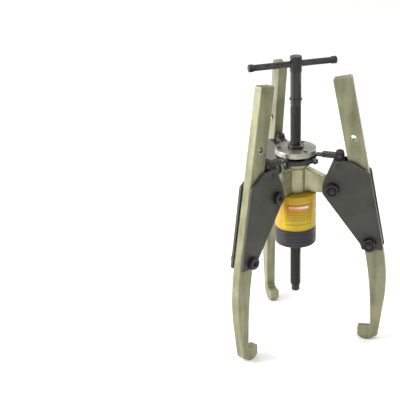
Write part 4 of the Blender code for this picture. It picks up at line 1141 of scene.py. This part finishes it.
def screwMesh():
    size = screw
    low, high = size["ringHeights"]
    blank = blankOf("screw", turnedMesh([
        (0, size["top"]), (size["head"], size["top"], 0.0016), (size["head"], size["headLow"], 0.0006),
        (size["radius"], size["headLow"] - 0.001), (size["radius"], high, 0.0004),
        (size["ring"], high - 0.0002, 0.0012), (size["ring"], low + 0.0002, 0.0012),
        (size["radius"], low, 0.0004), (size["radius"], size["threadTop"] + 0.002),
        (size["root"], size["threadTop"]), (size["root"], size["bottom"] + 0.0012),
        (size["root"] - 0.0012, size["bottom"]), (size["pinHole"], size["bottom"]),
        (size["pinHole"], size["pinTop"]), (0, size["pinTop"])], steps=72, up=floorZ))
    flare = size["barHole"] + size["barHoleFlare"]
    hole = blankOf("barHole", moved(turnedMesh([
        (0, -0.02), (flare, -0.02), (size["barHole"], -0.0092), (size["barHole"], 0.0092), (flare, 0.02),
        (0, 0.02)], steps=48), toHandle,
        lift(level(size["barHeight"]))))
    solid = finishedMesh(joined(blank, [hole]), [hole])
    start, end = size["bottom"] + 0.0014, size["threadTop"] - 0.0006
    wire = (size["radius"] - size["root"]) * 0.66
    thread = madeBy(winding, {"Turns": (end - start) / size["pitch"], "Radius": size["radius"] - wire,
                              "Rise": end - start, "Wire": wire, "Steps": size["threadSteps"], "Sides": 3,
                              "Tip": size["threadTip"]})
    thread.transform(lift(level(start)))
    return merged(solid, thread)


standFor("screwShaft", screwMesh(), "screw", "screw", "screwSteel")
noseShape = finishedMesh(blankOf("nose", turnedMesh([
    (0, nose["pinTop"]), (nose["pin"], nose["pinTop"], 0.0004), (nose["pin"], nose["shoulder"]),
    (nose["radius"], nose["shoulder"], 0.0005), (nose["radius"], nose["taper"], 0.0008),
    (nose["flat"], nose["bottom"], 0.0006), (0, nose["bottom"])], steps=64, up=floorZ)))
standFor("screwNose", noseShape, "screw_point", "point", "screwSteel")

rodEnd = tbarHalf - handle["capEnd"] - gap
rodShape = finishedMesh(blankOf("rod", rodMesh(handle["radius"], -rodEnd, rodEnd, 0.0006)))
standFor("handleBar", rodShape, "tbar", "tbar", "barHandleSteel", handlePlace)


def handleCapMesh():
    start = tbarHalf - handle["capLength"]
    return finishedMesh(blankOf("handleCap", turnedMesh([
        (0, tbarHalf), (handle["cap"], tbarHalf, 0.0018), (handle["cap"], start + 0.003),
        (handle["cap"] - 0.0005, start + 0.0026), (handle["cap"] - 0.0005, start + 0.0018),
        (handle["cap"], start + 0.0014), (handle["cap"], start, 0.0005),
        (handle["radius"] + gap, start, 0.0002),
        (handle["radius"] + gap, tbarHalf - handle["capEnd"]), (0, tbarHalf - handle["capEnd"])], steps=48)))


capShape = handleCapMesh()
for number, sign in ((1, 1), (2, -1)):
    turn = Matrix.Identity(4) if sign > 0 else Matrix.Rotation(pi, 4, 'X')
    standFor(f"handleCap{number}", capShape, f"tbar_cap_{number}", "tbar", "blackOxide", handlePlace @ turn)
print("screw and handle made")


# camera, light and floor
cameraPlace = {"target": 0.232, "distance": 1.891, "azimuth": radians(9.63), "elevation": radians(24.17),
               "lens": 96.1, "yaw": radians(5.12), "pitch": radians(0.80), "roll": radians(0.18)}


def setCamera():
    size = cameraPlace
    lens = bpy.data.cameras.new("camera")
    lens.lens = size["lens"]
    lens.sensor_width = 36
    lens.clip_end = 30
    camera = bpy.data.objects.new("camera", lens)
    bpy.context.scene.collection.objects.link(camera)
    target = Vector((0, 0, level(size["target"])))
    away = Vector((sin(size["azimuth"]) * cos(size["elevation"]),
                   -cos(size["azimuth"]) * cos(size["elevation"]),
                   sin(size["elevation"])))
    look = (-away).to_track_quat('-Z', 'Y').to_matrix().to_4x4()
    aim = Matrix.Rotation(size["yaw"], 4, 'Y') @ Matrix.Rotation(size["pitch"], 4, 'X') @ turnZ(size["roll"])
    camera.matrix_world = Matrix.Translation(target + away * size["distance"]) @ look @ aim
    bpy.context.scene.camera = camera


lights = (   # name, place, size, power in watts, colour
    ("overheadBox", (0.0, 0.5, 4.2), 6.5, 158, (1.0, 1.0, 1.0)),
    ("keyBox", (-1.8, -0.65, 1.0), 0.9, 60, (1.0, 0.99, 0.97)),
    ("fillBox", (1.5, -1.3, 0.9), 1.0, 3.5, (0.96, 0.98, 1.0)),
    ("rimBox", (0.9, 1.4, 1.1), 0.8, 12, (1.0, 1.0, 1.0)),
)


skyLook = {"tone": (1.0, 1.0, 0.99), "strength": 0.24}
lightAim = 0.24      # height the lamps point at


def setLights():
    aim = Vector((0, 0, level(lightAim)))
    for name, place, size, power, colour in lights:
        light = bpy.data.lights.new(name, 'AREA')
        light.size = size
        light.energy = power
        light.color = colour
        lamp = bpy.data.objects.new(name, light)
        bpy.context.scene.collection.objects.link(lamp)
        at = Vector(place)
        lamp.matrix_world = Matrix.Translation(at) @ (aim - at).to_track_quat('-Z', 'Y').to_matrix().to_4x4()
    world = bpy.data.worlds.new("studio")
    world.use_nodes = True
    sky = world.node_tree.nodes["Background"].inputs
    sky["Color"].default_value = (*skyLook["tone"], 1)
    sky["Strength"].default_value = skyLook["strength"]
    bpy.context.scene.world = world
    bpy.context.scene.view_settings.view_transform = 'Standard'


floorLook = {"reach": 5.0, "wall": 4.5, "bend": 2.6, "tone": (0.93, 0.93, 0.92)}


def setFloor():      # a round sweep: flat floor, a wide bend, then a low wall
    ground, reach = floorZ - 0.0004, floorLook["reach"]
    mesh = turnedMesh([(0, ground), (reach, ground, floorLook["bend"]), (reach, floorLook["wall"])],
                      steps=96, finest=radians(6))
    mesh.shade_smooth()
    finish, graph = newFinish("paleFloor")
    place = graph.node("ShaderNodeTexCoord").of("Object")
    tone = floorLook["tone"]
    base = graph.blended(graph.noise(place, 3, 3), tone, tuple(part * 0.985 for part in tone))
    normal = graph.node("ShaderNodeBump", {}, {"Height": graph.noise(place, 200, 2), "Distance": 0.0001,
                                               "Strength": 0.3})
    shaded(graph, base, 0.0, 0.65, normal, 0.0, 0.3)
    mesh.materials.append(finish)
    floor = bpy.data.objects.new("floor", mesh)
    bpy.context.scene.collection.objects.link(floor)


setCamera()
setLights()
setFloor()
for leftover in list(workshop.objects):
    bpy.data.objects.remove(leftover, do_unlink=True)
bpy.data.collections.remove(workshop)
print("pieces:", len(made), "triangles:", sum(sum(len(face.vertices) - 2 for face in piece.data.polygons)
                                              for piece in made))
